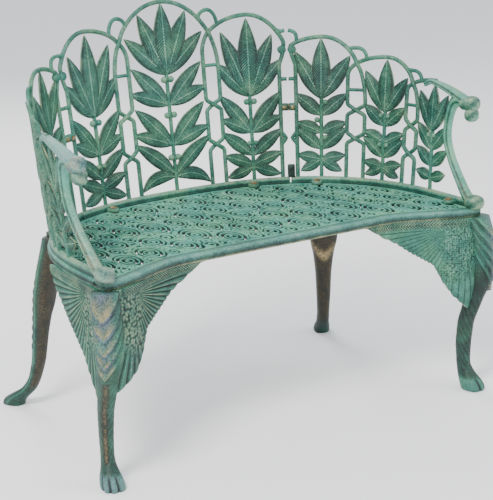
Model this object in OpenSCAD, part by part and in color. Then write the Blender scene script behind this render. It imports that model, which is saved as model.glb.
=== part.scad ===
// Garden bench for two, bolted together from iron castings: a pierced seat plate on four
// cabriole legs, and a hooped back of three castings whose ends sweep round into the arms.
// The origin is on the floor under the middle of the bench. +X is along the seat, +Y is to
// the back and +Z is up.

/* [Overall] */
// Height of the seat's top face above the floor
seat_h = 430; // [380:1:500]
// Half the width of the back rail, centre line to the middle of the bench
half_w = 460; // [420:1:540]
// Depth of the rail's rounded run, from its widest point to the middle of the back
bow_d = 437; // [380:1:500]
// Squareness of the rail's plan: 2 is an ellipse and more is squarer
bow_n = 2.5; // [2:0.1:3]
// How far the back leans out from upright, in degrees
lean = 6.2; // [2:0.2:10]

/* [Seat] */
// Thickness of the pierced seat plate
seat_t = 9; // [6:0.5:14]
// Width of the plain rim round the piercing
rim_w = 24; // [16:1:40]
// Depth of the rolled lip under the seat's edge
lip_h = 18; // [15:1:26]
// Thickness of the lip
lip_t = 6; // [4:0.5:8]
// Distance from the middle of the bench to the middle of the front edge
front_y = 216; // [190:1:250]
// How far the front corners stand out in front of the middle of the front edge
corner_out = 68; // [40:1:90]
// Width of the slots that pierce the seat
slot_w = 7; // [5:0.5:9]

/* [Back] */
// Width of the foot rail
rail_w = 15; // [12:0.5:20]
// Height of the foot rail
rail_h = 15; // [12:0.5:20]
// Width of the hoops and bars
bar_w = 10; // [8:0.5:13]
// Thickness of the hoops and bars
bar_t = 10; // [8:0.5:13]
// Thickness of the leaves
leaf_t = 6; // [4:0.5:8]
// Height of the tallest hoop above the seat
hoop_top = 449; // [420:1:500]
// Gap between neighbouring back castings
joint_gap = 4; // [2:0.5:8]

/* [Arms] */
// Height of the arm's end above the seat
arm_h = 237; // [200:1:270]
// Width of the arm rail and its support
arm_w = 20; // [16:1:28]
// Radius of the boss where the arm meets the front corner
boss_r = 20; // [16:0.5:26]

/* [Legs] */
// How far in front of the bench's middle the front feet stand
front_foot_y = 267; // [230:1:290]
// How far to the side the front feet stand
front_foot_x = 465; // [430:1:500]
// How far behind the bench's middle the rear feet stand
rear_foot_y = 290; // [250:1:310]
// How far to the side the rear feet stand
rear_foot_x = 432; // [400:1:470]
// Thickness of the wings on the front legs
wing_t = 7; // [5:0.5:12]
// Thickness of the pads that bolt the legs to the seat
pad_t = 8; // [6:0.5:12]

/* [Fasteners] */
// Diameter of the bolts
bolt_d = 8; // [6:1:8]
// Radial clearance round a bolt in its hole
bolt_gap = 0.4; // [0.2:0.1:0.8]
// Radial clearance between a bolt's thread and its nut
thread_gap = 0.05; // [0.02:0.01:0.1]
// Thickness of the washers
washer_t = 1.6; // [1:0.2:2.4]

/* [Hidden] */
$fn = 48;
GREEN = [0.31, 0.53, 0.45];
STEEL = [0.62, 0.55, 0.38];
OVER = 1; // how far a cut runs past a face

// ---- plan of the back rail, as a run s from the middle of the back to the front corner ----
bow_y = 248 - bow_d;                 // where the rounded run meets the straight side
function bow(a) = [half_w * pow(sin(a), 2 / bow_n), bow_y + bow_d * pow(cos(a), 2 / bow_n)];
boss_in = 9;                         // from the seat's front corner back to the boss's middle
side_end = -(front_y + corner_out) + boss_in;
plan_pts = concat([for (a = [0:1:90]) bow(a)], [[half_w, side_end]]);
function run_sum(i) = i == 0 ? 0 : run_sum(i - 1) + norm(plan_pts[i] - plan_pts[i - 1]);
runs = [for (i = [0:len(plan_pts) - 1]) run_sum(i)];
xs = [for (i = [0:len(runs) - 1]) [runs[i], plan_pts[i][0]]];
ys = [for (i = [0:len(runs) - 1]) [runs[i], plan_pts[i][1]]];
function plan(s) = [s < 0 ? -lookup(-s, xs) : lookup(s, xs), lookup(abs(s), ys)];
function heading(s) = let (d = plan(s + 2) - plan(s - 2)) atan2(d[1], d[0]);
function out(s) = let (h = heading(s)) [-sin(h), cos(h)];
run_end = runs[len(runs) - 1];

// ---- bays of the back: slot positions along the run, and heights above the seat ----
slot_s = [114, 290, 445, 589];       // middle of each pair of bars
slot_g = [18, 18, 21, 17];           // half the distance between the bars of a pair
cross_h = [368, 320, 285, 249];      // where neighbouring hoops cross
loop_h = [421, 362, 320, 277];       // top of the small loop over each crossing
loop_r = 22;                         // half width of the small loop
loop_w = 9;
tie_h = [293, 248, 222, 198];        // tie bar between the pair
tie_w = 8;
knot_h = [[201, 107], [182, 108], [175, 108], [152, 87]]; // where the pair crosses over
hoop_h = [hoop_top, 403, 345, 302, 261];
hoop_s = [0, (slot_s[0] + slot_s[1]) / 2, (slot_s[1] + slot_s[2]) / 2,
          (slot_s[2] + slot_s[3]) / 2, 655];
seam_s = [57, 158, 246];             // facets of the centre casting
side_seam_s = [328, 406, 488, 560, 622]; // facets of a side casting
arm_s = 682;                         // middle of the last facet, which holds the arm
lug_s = [195, 355, 748];

// Each side of a hoop is a quarter of an ellipse that passes the crossing beside it. Returns
// the ellipse's half width and the height of its foot
function hoop_quarter(crest, half, gap, cross) =
    let (a = half + gap, k = sqrt(1 - pow(half / a, 2)), base = (cross - k * crest) / (1 - k))
    [a, base];
function quarter_pts(s, crest, q, side) =
    [for (a = [0:15:90]) [s + side * q[0] * sin(a), q[1] + (crest - q[1]) * cos(a)]];

// Height of hoop j where it passes u to one side of the middle of slot i
function hoop_over(j, i, u) =
    let (q = hoop_quarter(hoop_h[j], abs(slot_s[i] - hoop_s[j]), slot_g[i], cross_h[i]),
        d = slot_s[i] + u - hoop_s[j]) q[1] + (hoop_h[j] - q[1]) * sqrt(1 - pow(d / q[0], 2));

// A bar of width w along pts, with mitred corners
function normal(d) = [-d[1], d[0]] / norm(d);
function edge(pts, w) = let (n = len(pts)) [for (i = [0:n - 1])
    let (a = pts[max(i, 1)] - pts[max(i, 1) - 1], b = pts[min(i, n - 2) + 1] - pts[min(i, n - 2)],
        m = normal(a) + normal(b)) pts[i] + m * w / (m * m)];
module stroke(pts, w) {
    far = edge(pts, -w);
    polygon(concat(edge(pts, w), [for (i = [len(pts) - 1:-1:0]) far[i]]));
}

// A lens-shaped leaf from its base, turned by ang from upright
module leaf(base, ang, length, width) {
    steps = 4;
    side = [for (i = [0:steps]) [width / 2 * pow(sin(180 * i / steps), 0.8), length * i / steps]];
    back = [for (i = [steps - 1:-1:1]) [-side[i][0], side[i][1]]];
    translate(base) rotate(-ang) hull() polygon(concat(side, back));
}

// One plant: a fan of leaves on a stem, then tiers of paired leaves
module plant(s, reach, fan_h, fan, tiers) {
    stroke([[s, 0], [s, fan_h + 20]], 9);
    for (f = fan) leaf([s, fan_h - 6], f[0], f[1], f[2]);
    for (t = tiers, side = [-1, 1])
        leaf([s, t[0] - 4], side * t[1], min(reach / sin(abs(t[1])), t[2]), t[3]);
    for (side = [-1, 1]) translate([s + side * 9, fan_h - 14]) circle(r = 6, $fn = 6);
}

module plants() {
    for (side = [-1, 1]) leaf([0, 50], side * 112, 92, 26);
    plant(0, slot_s[0] - slot_g[0], 288,
          [[0, hoop_top - 284, 44], [-22, 152, 36], [22, 152, 36], [-46, 132, 36], [46, 132, 36]],
          [[217, 40, 150, 32], [217, 64, 150, 28], [124, 40, 150, 32], [124, 64, 150, 28],
           [54, 46, 150, 30]]);
    plant(hoop_s[1], 68, 217,
          [[0, 188, 40], [-21, 172, 36], [21, 160, 36], [-40, 112, 32], [40, 112, 32]],
          [[131, 34, 150, 30], [131, 56, 150, 28], [74, 46, 150, 28], [51, 66, 150, 26],
           [51, 112, 150, 24]]);
    plant(hoop_s[2], 58, 205,
          [[0, 142, 38], [-28, 128, 34], [32, 122, 34]],
          [[160, 42, 150, 30], [118, 60, 150, 26], [76, 44, 150, 28], [60, 72, 150, 24],
           [60, 116, 150, 24]]);
    plant(hoop_s[3], 52, 180,
          [[0, 124, 36], [-30, 106, 32], [34, 100, 32]],
          [[142, 42, 150, 28], [102, 58, 150, 26], [66, 46, 150, 26], [50, 74, 150, 22],
           [50, 114, 150, 22]]);
    plant(hoop_s[4] + 4, 50, 150,
          [[0, 112, 34], [-26, 104, 30], [26, 100, 30]],
          [[106, 36, 150, 28], [68, 46, 150, 26], [40, 70, 150, 22]]);
}

// The pair of bars in a slot, crossing over twice, with a tie bar and a loop on top
module slot_bars(i) {
    s = slot_s[i];
    g = slot_g[i];
    k = knot_h[i];
    kink = 15;
    for (m = [-1, 1]) {
        stroke([[s + m * g, cross_h[i] - 60], [s + m * g, k[0] + kink], [s - m * g, k[0] - kink],
                [s - m * g, k[1] + kink], [s + m * g, k[1] - kink], [s + m * g, 0]], bar_w);
    }
    stroke([[s - g, tie_h[i]], [s + g, tie_h[i]]], tie_w);
    low = [hoop_over(i, i, -loop_r), hoop_over(i + 1, i, loop_r)];
    stroke([for (a = [-90:30:90]) let (foot = low[a < 0 ? 0 : 1])
        [s + loop_r * sin(a), foot + (loop_h[i] - foot) * cos(a)]], loop_w);
}

// Half a slot beside a joint between castings. side is -1 on the centre casting
module joint_bars(side) {
    i = 1;
    s = slot_s[i] + side * joint_gap / 2;
    bar = slot_s[i] + side * slot_g[i];
    boss = [s + side * 8, cross_h[i] - 4];
    stroke([boss, [bar, cross_h[i] - 34], [bar, 0]], bar_w);
    translate(boss) circle(r = 10, $fn = 24);
    stroke([[s - side * 3, tie_h[i]], [bar, tie_h[i]]], tie_w);
    stroke([[s - side * 3, knot_h[i][0]], [bar, knot_h[i][0]]], 17);
    stroke([[bar, knot_h[i][1] + 14], [s + side * 5, knot_h[i][1]], [bar, knot_h[i][1] - 14]], bar_w);
    crest = loop_h[i];
    foot = side < 0 ? hoop_over(i, i, -loop_r) : hoop_over(i + 1, i, loop_r);
    stroke([[s + side * 3, crest], [s + side * 13, crest - 5],
            [slot_s[i] + side * loop_r, (crest + foot) / 2 + 4],
            [slot_s[i] + side * loop_r, foot]], loop_w);
}

// A hoop. The last one has no far side: it runs out into the arm
module hoop(i) {
    s = hoop_s[i];
    crest = hoop_h[i];
    far = i < 4 ? hoop_quarter(crest, slot_s[i] - s, slot_g[i], cross_h[i]) : [0, 0];
    near = i > 0 ? hoop_quarter(crest, s - slot_s[i - 1], slot_g[i - 1], cross_h[i - 1]) : far;
    if (i < 4) {
        stroke(quarter_pts(s, crest, far, 1), bar_w);
        if (i == 0 || i > 1) stroke([[s + far[0], far[1]], [s + far[0], tie_h[i]]], bar_w);
    }
    stroke(quarter_pts(s, crest, near, -1), bar_w);
    if (i != 2) stroke([[s - near[0], near[1]], [s - near[0], tie_h[max(i - 1, 0)]]], bar_w);
}

module centre_bars() {
    hoop(0);
    slot_bars(0);
    intersection() {
        union() {
            hoop(1);
            joint_bars(-1);
        }
        square([slot_s[1] - joint_gap / 2, 600]);
    }
}
module side_bars() {
    hoop(3);
    hoop(4);
    slot_bars(2);
    slot_bars(3);
    intersection() {
        union() {
            hoop(2);
            joint_bars(1);
        }
        translate([slot_s[1] + joint_gap / 2, 0]) square([600, 600]);
    }
}

// Stand a flat piece of the back on the rail at s. Across is stretched as the back opens out
module on_back(s) {
    translate(concat(plan(s), seat_h)) rotate(heading(s)) rotate([-lean, 0, 0])
        rotate([90, 0, 0]) children();
}
function opening(s0, s1) = let (turn = (heading(s0) - heading(s1)) * PI / 180)
    1 + 250 * tan(lean) * turn / (s1 - s0);

// One facet of the back between two seams
module facet(s0, s1) {
    m = (s0 + s1) / 2;
    k = opening(s0, s1);
    lap = 2;
    on_back(m) {
        translate([0, 0, -bar_t / 2]) linear_extrude(bar_t)
            offset(delta = 0.01) intersection() {
                scale([k, 1]) translate([-m, 0]) children(0);
                translate([(s0 - m) * k - lap, 4]) square([(s1 - s0) * k + 2 * lap, 600]);
            }
        translate([0, 0, -leaf_t / 2]) linear_extrude(leaf_t)
            offset(delta = 0.01) intersection() {
                scale([k, 1]) translate([-m, 0]) children(1);
                translate([(s0 - m) * k - lap, 4]) square([(s1 - s0) * k + 2 * lap, 600]);
            }
    }
}

// ---- foot rail and its lugs ----
module band(s0, s1, w) {
    n = 40;
    inner = [for (i = [0:n]) let (s = s0 + (s1 - s0) * i / n) plan(s) - out(s) * w / 2];
    outer = [for (i = [n:-1:0]) let (s = s0 + (s1 - s0) * i / n) plan(s) + out(s) * w / 2];
    polygon(concat(inner, outer));
}
module rail(s0, s1) {
    translate([0, 0, seat_h]) linear_extrude(rail_h) band(s0, s1, rail_w);
}
lug_t = 8;
lug_r = 13;
lug_in = rail_w / 2 + lug_r - 3;
function lug_at(s) = plan(s) - out(s) * lug_in;
module lug(s) {
    translate([0, 0, seat_h]) linear_extrude(lug_t) union() {
        translate(lug_at(s)) circle(r = lug_r);
        translate(plan(s)) rotate(heading(s)) translate([-lug_r, -lug_in])
            square([2 * lug_r, lug_in]);
    }
}
module bolt_hole(at, z0, z1) {
    translate(concat(at, z0)) cylinder(d = bolt_d + 2 * bolt_gap, h = z1 - z0);
}

// ---- straps that join the back castings, behind the tabs ----
strap_t = 5;
strap_h = knot_h[1][0];
strap_x = 10;                        // from the joint to each bolt
module at_strap() {
    on_back(slot_s[1]) translate([0, strap_h, 0]) children();
}
joint_d = bolt_d - 3;
module joint_holes() {
    at_strap() for (m = [-1, 1]) translate([m * strap_x, 0, -30])
        cylinder(d = joint_d + 2 * bolt_gap, h = 60);
}
module strap_room() {
    at_strap() translate([-19, -8.5, -bar_t / 2 - strap_t]) cube([38, 17, strap_t]);
}

// ---- the back castings ----
module half_centre() {
    e = [0, seam_s[0], seam_s[1], seam_s[2], slot_s[1]];
    for (i = [0:3]) facet(e[i], e[i + 1]) {
        centre_bars();
        plants();
    }
}
module back_centre() {
    color(GREEN) difference() {
        union() {
            half_centre();
            mirror([1, 0, 0]) half_centre();
            rail(-slot_s[1] + joint_gap / 2, slot_s[1] - joint_gap / 2);
            for (m = [-1, 1]) lug(m * lug_s[0]);
        }
        for (m = [-1, 1]) bolt_hole(lug_at(m * lug_s[0]), seat_h - OVER, seat_h + lug_t + OVER);
        for (m = [0, 1]) mirror([m, 0, 0]) joint_holes();
    }
}

// The arm lies in the plane of the last facet. Points are along the run and above the seat
arm_pts = [[655, 261], [690, 255], [722, 245], [752, arm_h]];
arm_end = [776, arm_h + 3];
arm_hook = [784, arm_h - 30];
support_pts = [[733, 226], [716, 198], [709, 162], [712, 128], [732, 90], [767, 47], [798, 20]];
boss_at = [half_w, side_end];
boss_z = 14;                         // height of the boss's middle above the seat
module arm() {
    on_back(arm_s) translate([-arm_s, 0, 0]) {
        translate([0, 0, -arm_w / 2]) linear_extrude(arm_w) offset(delta = 0.01) {
            stroke(arm_pts, arm_w * 0.8);
            stroke([arm_pts[3], arm_end], arm_w * 1.1);
            stroke(support_pts, arm_w * 0.9);
            stroke([arm_end, arm_hook], arm_w);
        }
        translate(concat(arm_end, 0)) sphere(r = 17, $fn = 20);
        translate(concat(arm_hook, 0)) sphere(r = 14, $fn = 20);
    }
    translate(concat(boss_at, seat_h + boss_z)) sphere(r = boss_r, $fn = 24);
    translate(concat(boss_at, seat_h)) cylinder(r = boss_r, h = boss_z);
}
stud_up = 18;                        // how far a corner stud stands up into the arm's boss
stud_in = 7;                         // from the boss's middle in to the stud, each way
stud_at = boss_at + [-stud_in, stud_in];
module side_casting() {
    e = concat([slot_s[1]], side_seam_s, [2 * arm_s - side_seam_s[4]]);
    difference() {
        union() {
            for (i = [0:5]) facet(e[i], e[i + 1]) {
                side_bars();
                plants();
            }
            rail(slot_s[1] + joint_gap / 2, run_end);
            for (s = [lug_s[1], lug_s[2]]) lug(s);
            arm();
        }
        for (s = [lug_s[1], lug_s[2]])
            bolt_hole(lug_at(s), seat_h - OVER, seat_h + lug_t + OVER);
        bolt_hole(stud_at, seat_h - 60, seat_h + stud_up + OVER);
        joint_holes();
        translate([0, 0, seat_h - 60]) linear_extrude(60) square(1400, center = true);
    }
}
module back_right() {
    color(GREEN) side_casting();
}
module back_left() {
    color(GREEN) mirror([1, 0, 0]) side_casting();
}

// ---- seat plate ----
rim_out = 12;                        // how far the seat stands out past the rail's centre line
corner_x = half_w + rim_out;
function ease(u) = let (v = min(max(u, 0), 1)) v * v * (3 - 2 * v);
function front_line(x) = -front_y - corner_out * ease((abs(x) - 250) / (half_w - 250));
module outline() {
    n = 48;
    rear = [for (i = [-n:n]) let (s = run_end * i / n) plan(s) + rim_out * out(s)];
    front = [for (i = [-n:n]) let (x = -corner_x * i / n) [x, front_line(x)]];
    offset(r = 6) offset(delta = -6) polygon(concat(rear, front));
}
// A scroll-shaped slot: most of a circle with a curled tail inside
module scroll_slot(r, turn) {
    rotate(turn) stroke([for (a = [0:45:315]) (r - a / 28) * [cos(a), sin(a)]], slot_w);
}
pitch = 68;                          // distance between neighbouring scrolls
module piercing() {
    difference() {
        intersection() {
            offset(delta = -rim_w - slot_w) outline();
            for (i = [-8:8], j = [-5:5]) translate([(i + (abs(j) % 2) / 2) * pitch, j * pitch * 0.87])
                scroll_slot(pitch * 0.36, 90 * i + 40 * j);
        }
        for (m = [-1, 1], s = lug_s) translate(lug_at(m * s)) circle(r = lug_r + 6);
    }
}
leg_screws = [[-200, front_line(200) + 24], [-half_w - rim_out + 22, -70]]; // on the left
screw_d = bolt_d - 2;
screw_up = seat_t - 2;               // how far a screw enters the seat plate
module seat_plate() {
    color(GREEN) difference() {
        union() {
            translate([0, 0, seat_h - seat_t]) linear_extrude(seat_t) offset(delta = 0.01)
                difference() {
                    outline();
                    piercing();
                }
            translate([0, 0, seat_h - lip_h]) linear_extrude(lip_h) offset(delta = 0.01)
                difference() {
                    outline();
                    offset(delta = -lip_t) outline();
                }
        }
        for (m = [-1, 1], s = lug_s)
            bolt_hole(lug_at(m * s), seat_h - seat_t - OVER, seat_h + OVER);
        for (m = [-1, 1])
            bolt_hole([m * stud_at[0], stud_at[1]], seat_h - seat_t - OVER, seat_h + OVER);
        for (m = [0, 1], p = leg_screws) mirror([m, 0, 0])
            translate(concat(p, seat_h - seat_t - OVER))
                cylinder(d = screw_d + 2 * thread_gap, h = screw_up + OVER);
    }
}

// ---- legs ----
// A leg is a skin over rings: each ring is [height, distance out, half depth, half width]
ring_n = 16;
function ring_pts(r, at, turn) = [for (i = [0:ring_n - 1]) let (a = 360 * i / ring_n,
    u = r[1] + r[2] * cos(a), v = r[3] * sin(a))
    [at[0] + u * cos(turn) - v * sin(turn), at[1] + u * sin(turn) + v * cos(turn), r[0]]];
module skin(rings, at, turn) {
    n = len(rings);
    pts = [for (r = rings) each ring_pts(r, at, turn)];
    sides = [for (j = [0:n - 2], i = [0:ring_n - 1]) let (k = (i + 1) % ring_n)
        [j * ring_n + i, (j + 1) * ring_n + i, (j + 1) * ring_n + k, j * ring_n + k]];
    low = [for (i = [0:ring_n - 1]) i];
    high = [for (i = [ring_n - 1:-1:0]) (n - 1) * ring_n + i];
    polyhedron(pts, concat([low, high], sides), convexity = 4);
}
leg_top = seat_h - lip_h;
pad_top = seat_h - seat_t;
front_rings = [[0, 0, 26, 22], [9, 0, 29, 25], [24, -11, 25, 21], [42, -23, 19, 15],
    [60, -28, 17, 13], [108, -28, 20, 14], [161, -21, 20, 16], [207, -2, 21, 18],
    [260, 14, 26, 22], [302, 21, 29, 26], [350, 19, 27, 25], [leg_top, 9, 22, 22]];
rear_rings = [[0, -2, 27, 20], [9, 0, 29, 21], [22, -18, 25, 19], [42, -48, 18, 16],
    [70, -66, 15, 15], [113, -80, 16, 16], [185, -91, 18, 19], [230, -99, 20, 24],
    [275, -109, 22, 33], [330, -124, 23, 38], [leg_top, -150, 24, 40]];
front_turn = -100;                   // directions in which the left legs bow out
rear_turn = 120;
front_foot = [-front_foot_x, -front_foot_y];
rear_foot = [-rear_foot_x, rear_foot_y];

// The wing under the front edge, and the one under the side: distance out from the leg, height
function scallop(len, drop, n) = [for (i = [0:8 * n]) let (t = i / (8 * n))
    [len * (1 - t), -drop * pow(t, 1.25) - 7 * abs(sin(180 * n * t))]];
module wing(p0, p1, drop, n) {
    d = p1 - p0;
    translate(concat(p0, pad_top)) rotate(atan2(d[1], d[0])) rotate([90, 0, 0])
        translate([0, 0, -wing_t / 2]) linear_extrude(wing_t)
            polygon(concat([[0, 0], [norm(d), 0]], scallop(norm(d), drop, n)));
}
wing_in = lip_t + wing_t / 2 + 1;    // from the seat's edge to the middle of a wing
front_wing_end = [-185, front_line(185) + wing_in];
side_wing_end = [-corner_x + wing_in, -50];
wing_root = [-corner_x + wing_in + 14, front_line(corner_x) + wing_in + 14];
module stud_hole(at, z0, z1) {
    translate(concat(at, z0)) cylinder(d = bolt_d + 2 * thread_gap, h = z1 - z0);
}
stud_down = 30;                      // how far a corner stud goes down into the leg
corner_pad_r = 9.5;                  // radius of the leg's pad round the stud, inside the lip
module front_leg() {
    corner = [-stud_at[0], stud_at[1]];
    difference() {
        union() {
            skin(front_rings, front_foot, front_turn);
            translate(concat(corner, leg_top - OVER))
                cylinder(r = corner_pad_r, h = pad_top - leg_top + OVER);
            wing(wing_root, front_wing_end, 205, 7);
            wing(wing_root, side_wing_end, 215, 6);
            for (p = leg_screws) translate(concat(p, pad_top - pad_t)) linear_extrude(pad_t)
                square(26, center = true);
        }
        stud_hole(corner, pad_top - stud_down, pad_top + OVER);
        for (p = leg_screws) translate(concat(p, pad_top - pad_t - OVER))
            cylinder(d = screw_d + 2 * bolt_gap, h = pad_t + 2 * OVER);
    }
}
module rear_leg() {
    hole = lug_at(-lug_s[1]);
    difference() {
        union() {
            skin(rear_rings, rear_foot, rear_turn);
            translate([0, 0, pad_top - pad_t]) linear_extrude(pad_t) hull() {
                translate(hole) circle(r = 16);
                translate(rear_foot + 168 * [cos(rear_turn + 180), sin(rear_turn + 180)])
                    circle(r = 14);
            }
            translate(concat(rear_foot + 160 * [cos(rear_turn + 180), sin(rear_turn + 180)],
                leg_top - OVER)) cylinder(r = 14, h = pad_top - leg_top + OVER);
        }
        bolt_hole(hole, pad_top - pad_t - 30, pad_top + OVER);
    }
}
module front_leg_left() { color(GREEN) front_leg(); }
module front_leg_right() { color(GREEN) mirror([1, 0, 0]) front_leg(); }
module rear_leg_left() { color(GREEN) rear_leg(); }
module rear_leg_right() { color(GREEN) mirror([1, 0, 0]) rear_leg(); }

// ---- fasteners ----
head_h = 5;
nut_h = 6;
module washer(d) {
    difference() {
        cylinder(r = d, h = washer_t);
        translate([0, 0, -OVER]) cylinder(d = d + 2 * bolt_gap, h = washer_t + 2 * OVER);
    }
}
module nut(d) {
    difference() {
        cylinder(r = d * 0.9, h = nut_h, $fn = 6);
        translate([0, 0, -OVER]) cylinder(d = d + 2 * thread_gap, h = nut_h + 2 * OVER);
    }
}
// A domed bolt, its head's seat at the origin and its shank down
module bolt(d, length) {
    translate([0, 0, -length]) cylinder(d = d, h = length);
    intersection() {
        cylinder(r = d, h = head_h);
        translate([0, 0, head_h - d * 1.6]) sphere(r = d * 1.6);
    }
}
head_z = seat_h + lug_t;
module at_lugs(list) {
    for (m = [-1, 1], s = list) translate(concat(lug_at(m * s), 0)) children();
}
rail_only = [lug_s[0], lug_s[2]];
under = 2 * washer_t + nut_h + 2;    // shank past the parts that a bolt clamps
module rail_bolts() { color(STEEL) at_lugs(rail_only) translate([0, 0, head_z])
    bolt(bolt_d, lug_t + seat_t + under - washer_t); }
module rail_washers() { color(STEEL) at_lugs(rail_only)
    translate([0, 0, pad_top - washer_t]) washer(bolt_d); }
module rail_nuts() { color(STEEL) at_lugs(rail_only)
    translate([0, 0, pad_top - washer_t - nut_h]) nut(bolt_d); }
module rear_leg_bolts() { color(STEEL) at_lugs([lug_s[1]]) translate([0, 0, head_z])
    bolt(bolt_d, lug_t + seat_t + pad_t + under - washer_t); }
module rear_leg_washers() { color(STEEL) at_lugs([lug_s[1]])
    translate([0, 0, pad_top - pad_t - washer_t]) washer(bolt_d); }
module rear_leg_nuts() { color(STEEL) at_lugs([lug_s[1]])
    translate([0, 0, pad_top - pad_t - washer_t - nut_h]) nut(bolt_d); }
module corner_studs() {
    color(STEEL) for (m = [-1, 1])
        translate([m * stud_at[0], stud_at[1], pad_top - stud_down + OVER])
            cylinder(d = bolt_d, h = seat_t + stud_down + stud_up - 2 * OVER);
}
module leg_screws_set() {
    color(STEEL) for (m = [0, 1], p = leg_screws) mirror([m, 0, 0])
        translate(concat(p, pad_top - pad_t)) rotate([180, 0, 0])
            bolt(screw_d, pad_t + screw_up - OVER);
}
module at_joint_bolts() {
    for (m = [0, 1]) mirror([m, 0, 0]) at_strap() for (t = [-1, 1])
        translate([t * strap_x, 0, 0]) children();
}
module joint_straps() {
    color(STEEL) for (m = [0, 1]) mirror([m, 0, 0]) difference() {
        strap_room();
        joint_holes();
    }
}
module joint_bolts() {
    color(STEEL) at_joint_bolts() translate([0, 0, bar_t / 2])
        bolt(joint_d, bar_t + strap_t + washer_t + nut_h + 1);
}
module joint_washers() {
    color(STEEL) at_joint_bolts() translate([0, 0, -bar_t / 2 - strap_t - washer_t])
        washer(joint_d);
}
module joint_nuts() {
    color(STEEL) at_joint_bolts() translate([0, 0, -bar_t / 2 - strap_t - washer_t - nut_h])
        nut(joint_d);
}

seat_plate();
back_centre();
back_left();
back_right();
front_leg_left();
front_leg_right();
rear_leg_left();
rear_leg_right();
rail_bolts();
rail_washers();
rail_nuts();
rear_leg_bolts();
rear_leg_washers();
rear_leg_nuts();
corner_studs();
leg_screws_set();  // leg_screws
joint_straps();
joint_bolts();
joint_washers();
joint_nuts();
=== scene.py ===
"""Looks of the cast garden bench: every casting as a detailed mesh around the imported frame."""
import math

import bmesh
import bpy
import numpy as np
from mathutils import Matrix, Vector


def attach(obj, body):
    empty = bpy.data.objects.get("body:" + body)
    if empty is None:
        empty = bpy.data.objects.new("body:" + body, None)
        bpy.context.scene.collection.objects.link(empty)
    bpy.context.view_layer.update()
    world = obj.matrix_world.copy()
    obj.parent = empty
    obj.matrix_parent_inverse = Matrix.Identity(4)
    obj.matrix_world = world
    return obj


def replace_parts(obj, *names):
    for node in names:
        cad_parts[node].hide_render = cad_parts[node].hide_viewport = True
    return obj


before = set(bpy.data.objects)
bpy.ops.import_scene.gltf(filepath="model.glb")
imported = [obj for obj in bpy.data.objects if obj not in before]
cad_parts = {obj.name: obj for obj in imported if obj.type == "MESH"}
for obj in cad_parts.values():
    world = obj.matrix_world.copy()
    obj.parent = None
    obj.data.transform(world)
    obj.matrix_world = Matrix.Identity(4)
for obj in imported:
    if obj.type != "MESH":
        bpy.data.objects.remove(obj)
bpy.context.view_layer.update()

MM = 0.001
BODY = "root"

# ---- sizes in millimetres, as in the CAD model ----
SEAT_H = 430.0            # top face of the seat
HALF_W = 460.0            # half width of the foot rail
BOW_D = 437.0             # depth of the rail's rounded run
BOW_Y = 248.0 - BOW_D
BOW_N = 2.5               # squareness of the rail's plan
LEAN = math.radians(6.2)
FRONT_Y = 216.0            # middle of the seat's front edge
CORNER_OUT = 68.0         # how far the front corners stand out in front of it
BOSS_IN = 9.0
SIDE_END = -(FRONT_Y + CORNER_OUT) + BOSS_IN
RIM_OUT = 12.0
CORNER_X = HALF_W + RIM_OUT
SEAT_T = 9.0
PAD_TOP = SEAT_H - SEAT_T
PAD_T = 8.0               # thickness of the legs' pads under the seat
PAD_R = 13.0              # half width of the screw pads
BAR_R = 5.2               # radius of the hoops and bars
THIN_R = 4.6              # radius of the loops and of the bars at the joints

SLOT_S = [114.0, 290.0, 445.0, 589.0]
SLOT_G = [18.0, 18.0, 21.0, 17.0]
CROSS_H = [368.0, 320.0, 285.0, 249.0]
LOOP_H = [421.0, 362.0, 320.0, 277.0]
TIE_H = [293.0, 248.0, 222.0, 198.0]
KNOT_H = [(201.0, 107.0), (182.0, 108.0), (175.0, 108.0), (152.0, 87.0)]
HOOP_H = [449.0, 403.0, 345.0, 302.0, 261.0]
HOOP_S = [0.0, 202.0, 367.5, 517.0, 655.0]
JOINT_GAP = 4.0
LUG_S = [195.0, 355.0, 748.0]


# ---- plan of the foot rail ----
def plan_table():
    """Run length, x and y along the right half of the foot rail."""
    a = np.radians(np.linspace(0, 90, 4501))
    x = HALF_W * np.sin(a) ** (2 / BOW_N)
    y = BOW_Y + BOW_D * np.clip(np.cos(a), 0, 1) ** (2 / BOW_N)
    side = np.linspace(BOW_Y, SIDE_END, 60)[1:]
    x = np.concatenate([x, np.full(len(side), HALF_W)])
    y = np.concatenate([y, side])
    run = np.concatenate([[0], np.cumsum(np.hypot(np.diff(x), np.diff(y)))])
    return run, x, y


RUN, PLAN_X, PLAN_Y = plan_table()
RUN_END = float(RUN[-1])


def plan(s):
    s = np.asarray(s, float)
    x = np.interp(np.abs(s), RUN, PLAN_X) * np.sign(s + 1e-12)
    y = np.interp(np.abs(s), RUN, PLAN_Y)
    over = np.maximum(np.abs(s) - RUN_END, 0)
    return np.stack([x, y - over], -1)


def outward(s):
    """Unit vector out of the bow at run s, in plan."""
    d = plan(np.asarray(s, float) + 6) - plan(np.asarray(s, float) - 6)
    d /= np.linalg.norm(d, axis=-1, keepdims=True)
    return np.stack([-d[..., 1], d[..., 0]], -1)


def on_back(s, h, off=0.0):
    """Point of the leaning back at run s and height h above the seat, moved out by off."""
    s, h, off = np.broadcast_arrays(np.asarray(s, float), h, off)
    p = plan(s) + outward(s) * (h * math.tan(LEAN) + off / math.cos(LEAN))[..., None]
    return np.concatenate([p, (SEAT_H + h)[..., None]], -1)


def back_normal(s):
    n = outward(s) * math.cos(LEAN)
    return np.concatenate([n, np.full(n.shape[:-1] + (1,), -math.sin(LEAN))], -1)


# ---- mesh building ----
# Values at the points: the first is painted shade and painted highlight, low on undersides, in
# hollows and grooves and high on raised tops; the second gold wear; the third brown dirt with
# painted shade under the seat; the fourth pale patina.
WEAR_AND_SHADE = ("relief", "rub", "earth", "pale")
DEFAULT_WEAR_AND_SHADE = {"relief": 0.6, "rub": 0.0, "earth": 0.0, "pale": 0.0}


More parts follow.
